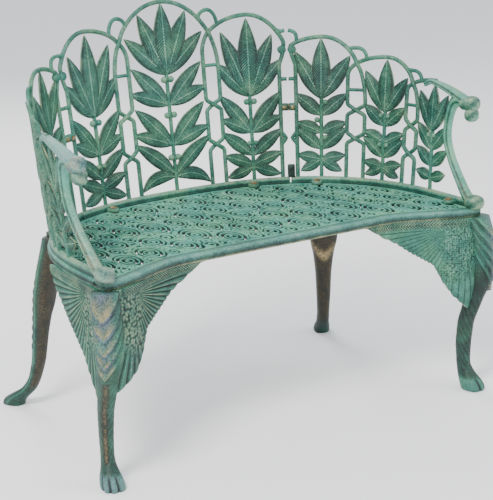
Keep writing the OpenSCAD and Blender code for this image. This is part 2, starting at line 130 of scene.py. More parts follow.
class Shell:
    """Collects grids of points, in millimetres, into one mesh with wear values and painted shade
    at its points.
    """

    def __init__(self):
        self.points, self.faces, self.count = [], [], 0
        self.wear_and_shade = {k: [] for k in WEAR_AND_SHADE}

    def grid(self, points, wrap_u=False, wrap_v=False, cap=False, **wear_and_shade):
        nu, nv = points.shape[:2]
        index = np.arange(nu * nv).reshape(nu, nv) + self.count
        rows = np.vstack([index, index[:1]]) if wrap_u else index
        cols = np.hstack([rows, rows[:, :1]]) if wrap_v else rows
        quads = np.stack([cols[:-1, :-1], cols[1:, :-1], cols[1:, 1:], cols[:-1, 1:]], -1)
        self.faces.extend(quads.reshape(-1, 4).tolist())
        if cap:
            self.faces.append(index[0, ::-1].tolist())
            self.faces.append(index[-1].tolist())
        self.points.append(points.reshape(-1, 3))
        for k in WEAR_AND_SHADE:
            value = np.broadcast_to(wear_and_shade.get(k, DEFAULT_WEAR_AND_SHADE[k]), (nu, nv))
            self.wear_and_shade[k].append(np.asarray(value, float).ravel())
        self.count += nu * nv

    def make(self, name, material, slot):
        """The collected grids as one piece of the bench, with its wear and painted shade stored as
        attributes.
        """
        co = np.concatenate(self.points) * MM
        mesh = bpy.data.meshes.new(name)
        mesh.from_pydata(co.tolist(), [], self.faces)
        for k in WEAR_AND_SHADE:
            layer = mesh.attributes.new(k, "FLOAT", "POINT")
            layer.data.foreach_set("value", np.concatenate(self.wear_and_shade[k]).astype(np.float32))
        bm = bmesh.new()
        bm.from_mesh(mesh)
        bmesh.ops.recalc_face_normals(bm, faces=bm.faces)
        bm.to_mesh(mesh)
        bm.free()
        mesh.polygons.foreach_set("use_smooth", np.ones(len(mesh.polygons), bool))
        mesh.materials.append(material)
        piece = bpy.data.objects.new(name, mesh)
        bpy.context.scene.collection.objects.link(piece)
        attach(piece, BODY)
        return piece


def unit(v):
    return v / np.maximum(np.linalg.norm(v, axis=-1, keepdims=True), 1e-9)


def resample(pts, step):
    """The polyline pts with points about step apart."""
    pts = np.asarray(pts, float)
    run = np.concatenate([[0], np.cumsum(np.linalg.norm(np.diff(pts, axis=0), axis=1))])
    n = max(2, int(round(run[-1] / step)) + 1)
    at = np.linspace(0, run[-1], n)
    return np.stack([np.interp(at, run, pts[:, i]) for i in range(pts.shape[1])], -1)


def rounded(pts, r=5.0):
    """A polyline with each corner eased by a short curve that starts r before it."""
    pts = [np.asarray(p, float) for p in pts]
    out = [pts[0]]
    for a, b, c in zip(pts[:-2], pts[1:-1], pts[2:]):
        u = b + (a - b) * min(0.5, r / max(np.linalg.norm(a - b), 1e-6))
        v = b + (c - b) * min(0.5, r / max(np.linalg.norm(c - b), 1e-6))
        for t in np.linspace(0, 1, 5):
            out.append(u * (1 - t) ** 2 + 2 * b * t * (1 - t) + v * t**2)
    return out + [pts[-1]]


def spline(pts, n):
    """Catmull-Rom curve of n points through pts."""
    p = np.asarray(pts, float)
    p = np.vstack([2 * p[0] - p[1], p, 2 * p[-1] - p[-2]])
    t = np.linspace(0, len(p) - 3 - 1e-9, n)
    i = t.astype(int)
    u = (t - i)[:, None]
    a, b, c, d = p[i], p[i + 1], p[i + 2], p[i + 3]
    return 0.5 * (2 * b + (c - a) * u + (2 * a - 5 * b + 4 * c - d) * u**2
                  + (3 * b - a - 3 * c + d) * u**3)


def tube(shell, pts, normal, across, deep, sides=10, **wear_and_shade):
    """A bar along pts. across is its half width beside the normal, deep its half depth."""
    tangent = unit(np.gradient(pts, axis=0))
    normal = np.broadcast_to(normal, pts.shape)
    beside = unit(np.cross(tangent, normal))
    normal = np.cross(beside, tangent)
    a = np.linspace(0, 2 * math.pi, sides, endpoint=False)
    across = np.broadcast_to(across, len(pts))[:, None, None]
    deep = np.broadcast_to(deep, len(pts))[:, None, None]
    ring = (pts[:, None] + across * np.cos(a)[None, :, None] * beside[:, None]
            + deep * np.sin(a)[None, :, None] * normal[:, None])
    shell.grid(ring, wrap_v=True, cap=True, **wear_and_shade)


def ball(shell, centre, r, squash=(1, 1, 1), n=14, **wear_and_shade):
    a = np.linspace(0.06, math.pi - 0.06, n)
    b = np.linspace(0, 2 * math.pi, 2 * n, endpoint=False)
    p = np.stack([np.sin(a)[:, None] * np.cos(b), np.sin(a)[:, None] * np.sin(b),
                  np.cos(a)[:, None] * np.ones_like(b)], -1)
    shell.grid(np.asarray(centre) + r * p * np.asarray(squash), wrap_v=True, cap=True, **wear_and_shade)


def turned(shell, centre, rings, n, square=2.0, **wear_and_shade):
    """An upright button about centre in plan, through its rings (radius, height)."""
    a = np.linspace(0, 2 * math.pi, n, endpoint=False)
    k = (np.abs(np.cos(a)) ** square + np.abs(np.sin(a)) ** square) ** (-1 / square)
    rows = [np.stack([centre[0] + r * k * np.cos(a), centre[1] + r * k * np.sin(a),
                      np.full(n, z)], -1) for r, z in rings]
    shell.grid(np.stack(rows), wrap_v=True, cap=True, **wear_and_shade)


# ---- the back ----
def quarter(s, crest, half, gap, cross, side, n=26):
    """One side of a hoop, from its crest down to where the bars run straight."""
    a = half + gap
    k = math.sqrt(1 - (half / a) ** 2)
    base = (cross - k * crest) / (1 - k)
    t = np.radians(np.linspace(0, 90, n))
    return np.stack([s + side * a * np.sin(t), base + (crest - base) * np.cos(t)], -1)


LOOP_R = 21.5


def hoop_over(j, i, u):
    """Height of hoop j at u to one side of the middle of slot i."""
    half = abs(SLOT_S[i] - HOOP_S[j])
    a = half + SLOT_G[i]
    k = math.sqrt(1 - (half / a) ** 2)
    base = (CROSS_H[i] - k * HOOP_H[j]) / (1 - k)
    d = SLOT_S[i] + u - HOOP_S[j]
    return base + (HOOP_H[j] - base) * math.sqrt(1 - (d / a) ** 2)


def back_bar(shell, pts, r=BAR_R, over=0.0, step=4.0, **wear_and_shade):
    """A round bar through points (run, height); over lifts it towards the sitter."""
    q = resample(pts, step)
    off = -over(q) if callable(over) else np.full(len(q), -float(over))
    p = on_back(q[:, 0], q[:, 1], off)
    tube(shell, p, back_normal(q[:, 0]), r, r * 0.92, **wear_and_shade)


def weave(points, lift):
    """Lift of a bar at each of the points (run, height) that it passes over or under."""
    def at(q):
        out = np.zeros(len(q))
        for s, h, sign in points:
            d = np.hypot(q[:, 0] - s, q[:, 1] - h)
            out += sign * lift * np.exp(-(d / 13.0) ** 2)
        return out
    return at


def knot_path(i, side):
    """One bar of a pair, from its hoop down to the rail, crossing over twice."""
    s, g, (k0, k1), kink = SLOT_S[i], SLOT_G[i] * side, KNOT_H[i], 12
    return [(s + g, k0 + kink), (s - g, k0 - kink), (s - g, k1 + kink), (s + g, k1 - kink),
            (s + g, 2)]


def slot_pair(shell, i, left_hoop, right_hoop):
    """Two hoops' inner legs, which cross at the top and twice more on the way down."""
    s, c = SLOT_S[i], CROSS_H[i]
    for side, hoop, sign in ((1, left_hoop, 1), (-1, right_hoop, -1)):
        path = rounded(list(hoop) + knot_path(i, side), 5)
        marks = [(s, c, sign), (s, KNOT_H[i][0], -sign), (s, KNOT_H[i][1], sign)]
        back_bar(shell, path, over=weave(marks, 3.6), rub=0.25)
    g = SLOT_G[i]
    back_bar(shell, [(s - g, TIE_H[i]), (s + g, TIE_H[i])], r=4.2)
    t = np.radians(np.linspace(-90, 90, 28))
    low = np.where(t < 0, hoop_over(i, i, -LOOP_R), hoop_over(i + 1, i, LOOP_R))
    back_bar(shell, np.stack([s + LOOP_R * np.sin(t), low + (LOOP_H[i] - low) * np.cos(t)], -1),
             r=THIN_R)


def hoop_sides(i):
    """Left and right quarter of hoop i, crest first."""
    s, crest = HOOP_S[i], HOOP_H[i]
    right = left = None
    if i < 4:
        right = quarter(s, crest, SLOT_S[i] - s, SLOT_G[i], CROSS_H[i], 1)
    if i > 0:
        left = quarter(s, crest, s - SLOT_S[i - 1], SLOT_G[i - 1], CROSS_H[i - 1], -1)
    return left, right


def joint_side(shell, hoop, side):
    """The half slot beside a joint between castings: boss, tab, stubs and half loop."""
    s = SLOT_S[1] + side * JOINT_GAP / 2
    bar = SLOT_S[1] + side * SLOT_G[1]
    c = CROSS_H[1]
    upper = [p for p in hoop if (p[0] - s) * side > 4 and p[1] > c - 6]
    path = upper + [(s + side * 6, c - 6), (s + side * 9, c - 18), (bar, c - 38)]
    back_bar(shell, rounded(path + [(bar, 2)], 5), rub=0.25)
    disc(shell, s + side * 9, c - 3, 9.5, 5.5)
    back_bar(shell, [(bar, TIE_H[1]), (s, TIE_H[1])], r=THIN_R)
    k = KNOT_H[1][1]
    back_bar(shell, rounded([(bar, k + 20), (bar, k + 15), (s + side * 5, k + 1),
                             (s + side * 5, k - 1), (bar, k - 15), (bar, k - 20)], 4), r=THIN_R)
    tab(shell, s, bar, KNOT_H[1][0], 9.0)
    crest, at = LOOP_H[1], SLOT_S[1] + side * LOOP_R
    foot = hoop_over(1, 1, -LOOP_R) if side < 0 else hoop_over(2, 1, LOOP_R)
    back_bar(shell, rounded([(s + side * 2, crest), (s + side * 13, crest - 3),
                             (at, (crest + foot) / 2 + 4), (at, foot)], 9), r=THIN_R)


def disc(shell, s, h, r, deep, **wear_and_shade):
    """A flat round boss with eased edges standing in the back's surface."""
    ring = [(0.0, deep), (r - 2, deep), (r, deep - 2), (r, 2 - deep), (r - 2, -deep), (0.0, -deep)]
    a = np.linspace(0, 2 * math.pi, 24, endpoint=False)
    rows = [on_back(s + max(rr, 0.2) * np.cos(a), h + max(rr, 0.2) * np.sin(a), -z)
            for rr, z in ring]
    shell.grid(np.stack(rows), wrap_v=True, cap=True, **wear_and_shade)


def tab(shell, s0, s1, h, half):
    """A bolting tab: a small block between the bar at s1 and the joint at s0."""
    q = resample([(s1, h), (s0, h)], 3.0)
    p = on_back(q[:, 0], q[:, 1])
    tube(shell, p, back_normal(q[:, 0]), half, 4.8, sides=16)


def leaf(shell, base, angle, length, width, lift=0.0, bend=0.0, nt=84, nu=21):
    """A veined leaf: a thin domed blade with a raised midrib and slanting side veins."""
    t = np.linspace(0, 1, nt)
    turn = math.radians(angle) + math.radians(bend) * (t - 0.15).clip(0)
    step = length / (nt - 1)
    spine = np.stack([np.cumsum(np.sin(turn)) * step, np.cumsum(np.cos(turn)) * step], -1)
    spine = spine - spine[:1] + np.asarray(base, float)
    beside = np.stack([np.cos(turn), -np.sin(turn)], -1)
    half = width / 2 * np.sin(math.pi * t**0.9) ** 0.85 + 0.5
    u = np.linspace(-1, 1, nu)
    q = spine[:, None] + (u * half[:, None])[..., None] * beside[:, None]
    along, across = t[:, None] * length, np.abs(u)[None, :] * half[:, None]
    vein = (0.5 + 0.5 * np.cos(2 * math.pi * (along - across * 1.7) / 6.4)) ** 1.3
    rib = np.exp(-(across / 1.2) ** 2)
    body = (1 - np.abs(u)[None, :] ** 3) * np.minimum(1, half / 6)[:, None]
    fade = np.minimum(1, half / 7)[:, None] * (1 - rib) * np.minimum(1, (1 - np.abs(u)) * 5)
    edge = np.clip((np.abs(u)[None, :] - 0.86) * 8, 0, 1) * np.ones((nt, 1))
    gutter = np.exp(-((np.abs(u)[None, :] - 0.78) / 0.1) ** 2) * np.minimum(1, half / 9)[:, None]
    # Painted highlight on the midrib, veins and rim, painted shade in the gutter inside the rim.
    relief = 0.10 * body + 0.85 * np.maximum(rib, vein * 0.95 * fade) - 0.25 * gutter
    relief = np.maximum(relief, 0.62 * edge)
    for sign in (-1, 1):
        top = 1.4 + 1.3 * body + (1.9 * rib + 1.8 * vein * fade) * (half / (half + 2))[:, None]
        p = on_back(q[..., 0], q[..., 1], sign * top - lift)
        shell.grid(p, relief=relief, rub=0.42 * rib + 0.34 * vein * fade + 0.3 * edge)
    for i in (0, -1):
        rim = np.stack([on_back(q[:, i, 0], q[:, i, 1], o - lift) for o in (-1.6, 1.6)])
        shell.grid(rim, relief=0.7, rub=0.6)


def berries(shell, s, h, gap=9.0, r=6.2, sides=(-1, 1)):
    gap, r = gap - 1.0, r * 1.15
    for side in sides:
        ball(shell, on_back(s + side * gap, h, -3.0), r, n=9, relief=0.75, rub=0.35)
        back_bar(shell, [(s, h - 9), (s + side * gap, h)], r=2.6, over=2.0)


def plant(shell, s, reach, fan_h, fan, tiers, foot=0.0):
    """A stem with a fan of leaves at its head and tiers of paired leaves below."""
    stem = resample([(s + foot, 2), (s + foot * 0.5, fan_h * 0.4), (s, fan_h + 14)], 5)
    back_bar(shell, stem, r=4.8, over=0.5, rub=0.2)
    for k, (angle, length, width) in enumerate(fan):
        leaf(shell, (s, fan_h - 6), angle, length, width, lift=(2.2, 0.6, 1.2, -1.0, -0.4)[k])
    for h, angle, width, bend in tiers:
        at = s + foot * (1 - min(h / fan_h, 1))
        for side in (-1, 1):
            length = min(reach / math.sin(math.radians(min(angle, 90))), 128)
            leaf(shell, (at, h - 4), side * angle, length, width, bend=side * bend,
                 lift=0.8 * side)


def plant_2(shell):
    plant(shell, 0, 97, 288, [(0, 163, 50), (-23, 154, 44), (23, 154, 44), (-47, 134, 40),
                              (47, 134, 40)],
          [(217, 42, 38, 6), (217, 67, 34, 10), (124, 42, 38, 6), (124, 67, 34, 10),
           (56, 46, 35, 14), (50, 78, 31, 75)])
    for h in (272, 190, 92):
        berries(shell, 0, h, 10, 6.6)


def plant_3(shell):
    plant(shell, HOOP_S[1], 70, 217, [(0, 184, 47), (-21, 167, 42), (21, 154, 42),
                                      (-42, 114, 38), (42, 114, 38)],
          [(131, 36, 36, 6), (131, 60, 33, 10), (76, 48, 33, 8), (54, 68, 30, 4),
           (50, 112, 28, -10)])
    berries(shell, HOOP_S[1], 200, 10, 6.4)
    berries(shell, HOOP_S[1], 102, 9, 5.4)


def plant_4(shell):
    plant(shell, HOOP_S[2] - 3, 57, 205, [(0, 142, 42), (-27, 127, 38), (32, 121, 38)],
          [(164, 46, 34, 6), (124, 64, 31, 8), (84, 46, 32, 8), (60, 78, 28, 2),
           (60, 122, 26, -8)])
    berries(shell, HOOP_S[2] - 3, 192, 10, 5.8, (1,))
    berries(shell, HOOP_S[2] - 3, 150, 11, 5.8, (-1,))
    berries(shell, HOOP_S[2] - 3, 108, 10, 5.8, (1,))


def plant_5(shell):
    plant(shell, HOOP_S[3], 51, 180, [(0, 122, 40), (-29, 108, 36), (33, 101, 36)],
          [(146, 46, 32, 6), (108, 62, 29, 8), (72, 46, 30, 8), (50, 78, 26, 2),
           (50, 118, 24, -8)])
    berries(shell, HOOP_S[3], 166, 10, 5.4)
    berries(shell, HOOP_S[3], 98, 10, 5.4)


def plant_6(shell):
    plant(shell, HOOP_S[4], 47, 152, [(0, 106, 38), (-27, 100, 34), (26, 97, 34)],
          [(108, 38, 32, 6), (72, 48, 30, 8), (44, 72, 27, 6)], foot=8)
    berries(shell, HOOP_S[4], 138, 9, 5.0)


def foot_rail(shell, s0, s1):
    """The rail along the castings' feet: a rounded bar over a hollow and a thin foot."""
    s = np.linspace(s0, s1, max(24, int(abs(s1 - s0) / 6)))
    profile = [(-7.5, 0), (-8.2, 2.5), (-6.4, 5), (-7.6, 8), (-6.8, 12), (-3.5, 15), (0, 16),
               (3.5, 15), (6.8, 12), (7.6, 8), (6.4, 5), (8.2, 2.5), (7.5, 0)]
    base, n = plan(s), outward(s)
    rows = []
    for d, z in profile:
        p = base + n * d
        rows.append(np.concatenate([p, np.full((len(s), 1), SEAT_H + z)], 1))
    # Painted shade in the hollow and at the foot, painted highlight on the rounded top.
    tone = np.array([0.2, 0.4, 0.25, 0.6, 0.8, 0.9, 0.9, 0.9, 0.8, 0.6, 0.25, 0.4, 0.2])
    shell.grid(np.stack(rows, 1), wrap_v=True, cap=True, relief=tone[None, :],
               rub=0.5 * (tone > 0.75)[None, :])


LUG_IN = 7.5 + 13 - 3


def lug(shell, s):
    """A round ear on the sitter's side of the rail, for a bolt down through the seat."""
    centre = plan(s) - outward(s) * LUG_IN
    a = np.linspace(0, 2 * math.pi, 32, endpoint=False)
    n = outward(s)
    along = np.array([n[1], -n[0]])
    reach = np.where(np.sin(a) > 0, LUG_IN + 2, 13.0)
    rows = []
    for k, z in ((1.0, 0), (1.0, 5), (0.93, 7.4), (0.8, 8.2), (0.1, 8.2)):
        x, y = 13 * k * np.cos(a) * (1 + 0.35 * np.clip(np.sin(a), 0, 1)), reach * k * np.sin(a)
        p = centre + x[:, None] * along + y[:, None] * n
        rows.append(np.concatenate([p, np.full((len(a), 1), SEAT_H + z)], 1))
    shell.grid(np.stack(rows), wrap_v=True, cap=True, relief=0.7, rub=0.3)


def half_centre(shell):
    """The bars of the middle casting's right half."""
    hoop_0 = hoop_sides(0)[1]
    left_1, right_1 = hoop_sides(1)
    slot_pair(shell, 0, hoop_0, left_1)
    joint_side(shell, right_1, -1)


def mirrored(shell):
    """A copy of the shell on the other side of the bench's middle."""
    other = Shell()
    other.points = [p * [-1, 1, 1] for p in shell.points]
    other.faces, other.count = shell.faces, shell.count
    other.wear_and_shade = shell.wear_and_shade
    return other


def merge(*shells):
    out = Shell()
    for s in shells:
        out.faces.extend((np.asarray(f) + out.count).tolist() for f in s.faces)
        out.points.extend(s.points)
        for k in WEAR_AND_SHADE:
            out.wear_and_shade[k].extend(s.wear_and_shade[k])
        out.count += s.count
    return out


def back_centre():
    half = Shell()
    half_centre(half)
    plant_3(half)
    lug(half, LUG_S[0])
    middle = Shell()
    plant_2(middle)
    foot_rail(middle, -SLOT_S[1] + JOINT_GAP / 2, SLOT_S[1] - JOINT_GAP / 2)
    return merge(half, mirrored(half), middle)


# ---- arms ----
def fluted(shell, pts, normal, across, deep, grooves=(60, 120, 240, 300), sides=36, square=2.0,
           **wear_and_shade):
    """A bar like tube's, with a groove along it at each of the given angles, squarer over 2."""
    tangent = unit(np.gradient(pts, axis=0))
    beside = unit(np.cross(tangent, np.broadcast_to(normal, pts.shape)))
    normal = np.cross(beside, tangent)
    a = np.linspace(0, 2 * math.pi, sides, endpoint=False)
    cut = np.zeros(sides)
    for g in grooves:
        away = np.abs((a - math.radians(g) + math.pi) % (2 * math.pi) - math.pi)
        cut += np.exp(-(away / 0.24) ** 2)
    k = (np.abs(np.cos(a)) ** square + np.abs(np.sin(a)) ** square) ** (-1 / square)
    k = (1 - 0.2 * cut) * k
    ring = (pts[:, None]
            + np.asarray(across)[:, None, None] * (k * np.cos(a))[None, :, None] * beside[:, None]
            + np.asarray(deep)[:, None, None] * (k * np.sin(a))[None, :, None] * normal[:, None])
    wear_and_shade = {key: np.broadcast_to(np.asarray(v, float), (len(pts), sides)) if np.ndim(v) != 1
            else np.broadcast_to(np.asarray(v)[:, None], (len(pts), sides))
            for key, v in wear_and_shade.items()}
    # Painted shade in the grooves.
    wear_and_shade["relief"] = np.broadcast_to(0.9 - 0.6 * cut[None, :], (len(pts), sides))
    shell.grid(ring, wrap_v=True, cap=True, **wear_and_shade)


BOSS = (HALF_W, SIDE_END + 3, SEAT_H + 12)


def arm(shell, wash):
    """The arm's rail, its two-lobed knuckle, the fluted support and the boss at the corner."""
    q = spline([(622, 250), (640, 257.5), (665, 254), (699, 246), (732, 236), (760, 228),
                (776, 225)], 60)
    t = np.linspace(0, 1, len(q))
    p = on_back(q[:, 0], q[:, 1])
    flat = np.clip(t * 1.7 - 0.15, 0, 1)
    fluted(shell, p, back_normal(q[:, 0]), 5.4 + 4.2 * flat, 6.2 + 7.6 * flat,
           grooves=(270,), square=3.0, rub=0.3, pale=wash * (0.35 + 0.6 * t))
    knuckle(shell, on_back(777, 225), (18.0, 16.5, 17.5), wash)
    knuckle(shell, on_back(779, 201), (15.5, 15.0, 16.0), 0.2 * wash)
    knuckle(shell, on_back(758, 222), (15.0, 16.0, 14.0), 0.5 * wash)
    q = spline([(742, 230), (724, 224), (711, 206), (704, 172), (706, 136), (727, 94),
                (766, 46), (790, 21), (808, 12)], 90)
    t = np.linspace(0, 1, len(q))
    wide = 10.0 + 4.0 * np.exp(-((t - 0.1) / 0.14) ** 2) + 3.5 * np.clip((t - 0.6) / 0.4, 0, 1)
    p = on_back(q[:, 0], q[:, 1])
    fluted(shell, p, back_normal(q[:, 0]), wide, wide * 1.05,
           rub=0.12 + (0.4 + 0.6 * wash) * (t - 0.35).clip(0),
           pale=wash * (0.12 + 0.5 * (t - 0.6).clip(0)))
    knuckle(shell, BOSS, (20.0, 21.0, 17.0), 0.7 * wash)
    # A flat button under the boss, dark with painted shade.
    ball(shell, (HALF_W, BOSS[1], SEAT_H + 3.0), 18.0, (1, 1, 0.25), relief=0.2)


def knuckle(shell, at, half, wash):
    """A squarish lobe with soft dents, pale by wash."""
    a = np.linspace(0.05, math.pi - 0.05, 26)[:, None]
    b = np.linspace(0, 2 * math.pi, 44, endpoint=False)[None, :]
    p = np.stack([np.sin(a) * np.cos(b), np.sin(a) * np.sin(b), np.cos(a) * np.ones_like(b)], -1)
    p = np.sign(p) * np.abs(p) ** 0.78
    dent = 0.5 + 0.5 * np.sin(2 * b + 4 * a) * np.sin(a)
    # Painted shade in the dents.
    shell.grid(at + p * np.asarray(half) * (1 - 0.05 * dent)[..., None], wrap_v=True, cap=True,
               relief=0.9 - 0.5 * dent, rub=0.55 - 0.35 * dent, pale=wash * (0.9 - 0.5 * dent))


FOOT_TAB = (284.0, 301.0, 30.0, 15.0)


def foot_tab(shell):
    """The block at the foot of one side casting that laps over the joint."""
    s0, s1, h, half = FOOT_TAB
    q = np.array([(s0, h), (s0 + 1, h), (s1 - 1, h), (s1, h)])
    a = np.linspace(0, 2 * math.pi, 32, endpoint=False)
    k = (np.abs(np.cos(a)) ** 8 + np.abs(np.sin(a)) ** 8) ** (-1 / 8)
    rows = [on_back(np.full(32, s), hh + half * e * k * np.cos(a), -2 + 7.0 * e * k * np.sin(a))
            for (s, hh), e in zip(q, (0.9, 1, 1, 0.9))]
    # Dark with painted shade where it laps over the joint, with a little brown.
    shell.grid(np.stack(rows), wrap_v=True, cap=True, relief=0.15, earth=0.2)


def back_side(mirror):
    """A side casting of the back, with its arm. It is built on the right."""
    shell = Shell()
    left_2, right_2 = hoop_sides(2)
    left_3, right_3 = hoop_sides(3)
    left_4 = hoop_sides(4)[0]
    joint_side(shell, left_2, 1)
    slot_pair(shell, 2, right_2, left_3)
    slot_pair(shell, 3, right_3, left_4)
    for build in (plant_4, plant_5, plant_6):
        build(shell)
    foot_rail(shell, SLOT_S[1] + JOINT_GAP / 2, RUN_END - 6)
    for s in LUG_S[1:]:
        lug(shell, s)
    arm(shell, 0.85 if mirror else 0.05)
    if not mirror:
        foot_tab(shell)
    return mirrored(shell) if mirror else shell


# ---- seat plate ----
def ease(u):
    u = np.clip(u, 0, 1)
    return u * u * (3 - 2 * u)


def front_line(x):
    """The front edge's y where the seat is x from its middle."""
    return -FRONT_Y - CORNER_OUT * ease((np.abs(x) - 250) / (HALF_W - 250))


def seat_outline():
    """The seat's edge as a closed loop with rounded front corners, and its outward normals."""
    s = np.linspace(-RUN_END, RUN_END, 700)
    rear = plan(s) + outward(s) * RIM_OUT
    x = np.linspace(CORNER_X, -CORNER_X, 400)
    front = np.stack([x, front_line(x)], -1)
    loop = np.vstack([rear, front])
    for _ in range(5):
        loop = (loop + np.roll(loop, 1, 0)) / 2
    loop = resample(np.vstack([loop, loop[:1]]), 4.0)[:-1]
    d = np.roll(loop, -1, 0) - np.roll(loop, 1, 0)
    n = unit(np.stack([-d[:, 1], d[:, 0]], -1))
    return loop, n


def smooth_ring(values, width):
    """A closed run of vectors blurred along itself."""
    k = np.exp(-(np.arange(-3 * width, 3 * width + 1) / width) ** 2)
    out = sum(w * np.roll(values, i, 0) for w, i in zip(k, range(-3 * width, 3 * width + 1)))
    return out / k.sum()


RIM_W = 24.0


def seat_rim(shell, loop, n):
    """The plain rim with its rolled lip. The sides and back have a groove along the edge."""
    soft = unit(smooth_ring(n, 7))
    mitre = 1 / np.clip((soft * n).sum(-1), 0.72, 1)
    front = ease((-loop[:, 1] - 150) / 60) * (np.abs(loop[:, 0]) < CORNER_X - 4)
    profile = [(RIM_W, 430, 430), (14, 430.4, 430.4), (8, 430.6, 430.8), (4, 430.2, 430.4),
               (1.2, 428.4, 428.2), (0, 425.5, 425), (0, 422.5, 421.5), (0.2, 420, 418),
               (0, 417.5, 415.4), (1, 414.2, 413.4), (3, 412.3, 412.2), (5, 412.6, 412.8),
               (6.5, 416, 416), (7.5, 421, 421), (RIM_W, 421, 421)]
    # Painted shade under the lip and in the groove, lighter on the lip's top.
    tone = [0.55, 0.6, 0.7, 0.8, 0.75, 0.5, 0.3, 0.2, 0.4, 0.7, 0.6, 0.3, 0.1, 0.05, 0.05]
    rub = [0, 0.05, 0.1, 0.2, 0.25, 0.1, 0.05, 0.1, 0.6, 0.95, 0.8, 0.2, 0, 0, 0]
    pale = [0.0, 0.05, 0.15, 0.3, 0.32, 0.2, 0.1, 0.0, 0.0, 0, 0, 0, 0, 0, 0]
    groove = {6: 2.4, 7: 2.6}
    columns = []
    for k, (d, z_side, z_front) in enumerate(profile):
        d = d + groove.get(k, 0) * (1 - front) - (1.4 * front if 4 <= k <= 7 else 0)
        z = z_side * (1 - front) + z_front * front
        turn = np.clip(d / 12, 0, 1)[:, None] if np.ndim(d) else min(d / 12, 1)
        way = n * (1 - turn) + soft * turn
        reach = d * (1 + (mitre - 1) * np.clip(d / 12, 0, 1))
        p = loop - way * np.reshape(reach, (-1, 1))
        columns.append(np.concatenate([p, np.reshape(z, (-1, 1))], 1))
    side_rub = np.array(rub)[None, :] * (0.35 + 0.65 * front[:, None])
    side_pale = np.array(pale)[None, :] * (0.25 + 0.75 * front[:, None])
    shell.grid(np.stack(columns, 1), wrap_u=True, wrap_v=True, relief=np.array(tone)[None, :],
               rub=side_rub, pale=side_pale)


def strand(shell, pts, width, height=0.0):
    """A flat-bottomed, round-topped strand of the tracery along pts in plan."""
    d = unit(np.gradient(pts, axis=0))
    side = np.stack([-d[:, 1], d[:, 0]], -1)
    half = np.broadcast_to(width, len(pts)) / 2 * np.hypot(1.4 * d[:, 0], d[:, 1])
    section = [(-1, 421.5), (-1.0, 425.0), (-0.8, 427.9), (-0.36, 429.8), (0.36, 429.8),
               (0.8, 427.9), (1.0, 425.0), (1, 421.5)]
    # Painted shade and highlight: dark at the strand's foot and sides, light on its top.
    tones = np.array([0.0, 0.0, 0.5, 0.95, 0.95, 0.5, 0.0, 0.0])
    lift = np.broadcast_to(height, len(pts))
    rows = [np.concatenate([pts + side * (u * half)[:, None],
                            (z + lift * (z > 425))[:, None]], 1) for u, z in section]
    shell.grid(np.stack(rows, 1), wrap_v=True, cap=True, relief=tones[None, :],
               rub=0.12 * (tones > 0.9)[None, :])


def bulb(shell, at, r):
    """A round button of the tracery."""
    rings = ((1, 421.5), (1, 426.5), (0.86, 429), (0.55, 430.4), (0.05, 430.7))
    # Painted shade at the button's foot, painted highlight on its top.
    tone = np.array([0, 0.2, 0.7, 1, 1])[:, None]
    turned(shell, at, [(r * k, z) for k, z in rings], 14, relief=tone, rub=0.25 * (tone > 0.9))


def spiral(shell, at, r, start, hand, turns, width):
    """A scroll that winds in from radius r and ends in a bulb."""
    n = int(26 * turns) + 6
    t = np.linspace(0, 1, n)
    a = start + hand * 2 * math.pi * turns * t
    wound = np.clip((t * turns - 0.45) / (turns - 0.45), 0, 1)
    rad = (r - width / 2 + 0.6) * (1 - wound) + 3.2 * wound
    pts = (at + np.stack([rad * np.cos(a), rad * np.sin(a)], -1)) * STRETCH
    strand(shell, pts, width * (0.55 + 0.45 * np.minimum(1, t * 6)) * (1 - 0.28 * t),
           height=0.6 * (1 - t))
    bulb(shell, pts[-1], 3.4 + 0.05 * r)


def inside_by(p, loop, n):
    """How far points p lie inside the loop, negative outside."""
    d = p[:, None] - loop[None]
    i = np.argmin((d**2).sum(-1), axis=1)
    near = d[np.arange(len(p)), i]
    return -(near * n[i]).sum(-1)


SMALLEST = 2.0            # radius of the least circle that the tracery's packing draws
MOST = 2500               # the packing stops at this many circles
LARGEST = (24.0, 38.0)    # range of the radii tried first
LAP = 3.2                 # how far neighbouring scrolls run into each other
RING_PITCH = 9.8          # from one turn of a scroll to the next, across the seat
STRETCH = np.array([1.0, 1.7])  # scrolls are drawn round and then stretched to the front


def packed_circles(loop, n, rng):
    """Touching circles that fill the right half of the seat inside its rim, largest first."""
    edge = (loop - unit(smooth_ring(n, 7)) * (RIM_W - 2.5)) / STRETCH
    away = unit(n * STRETCH)
    x, y = np.meshgrid(np.arange(2.0, CORNER_X, 4.0), np.arange(-172.0, 150.0, 3.0))
    p = np.stack([x.ravel(), y.ravel()], -1) + rng.uniform(-1.4, 1.4, (x.size, 2))
    middle = np.stack([np.zeros(90), np.linspace(-130, 145, 90)], -1)
    mirror_room = np.concatenate([p[:, 0] + 0.6, np.full(len(middle), 99.0)])
    p = np.vstack([p, middle])
    room = np.concatenate([inside_by(part, edge, away) for part in np.array_split(p, 12)])
    room = np.minimum(room, mirror_room)
    for s in LUG_S:
        lug_x, lug_y = (plan(s) - outward(s) * LUG_IN) / STRETCH
        room = np.minimum(room, np.hypot(p[:, 0] - lug_x, p[:, 1] - lug_y) - 10)
    found = []
    while room.max() > SMALLEST and len(found) < MOST:
        cap = rng.uniform(*LARGEST)
        fits = np.flatnonzero(room >= cap)
        i = fits[room[fits].argmin()] if len(fits) else int(room.argmax())
        r = min(room[i], cap)
        found.append((p[i, 0], p[i, 1], r))
        apart = np.hypot(p[:, 0] - p[i, 0], p[:, 1] - p[i, 1])
        room = np.minimum(room, apart - r + min(LAP, 0.45 * r))
    return found


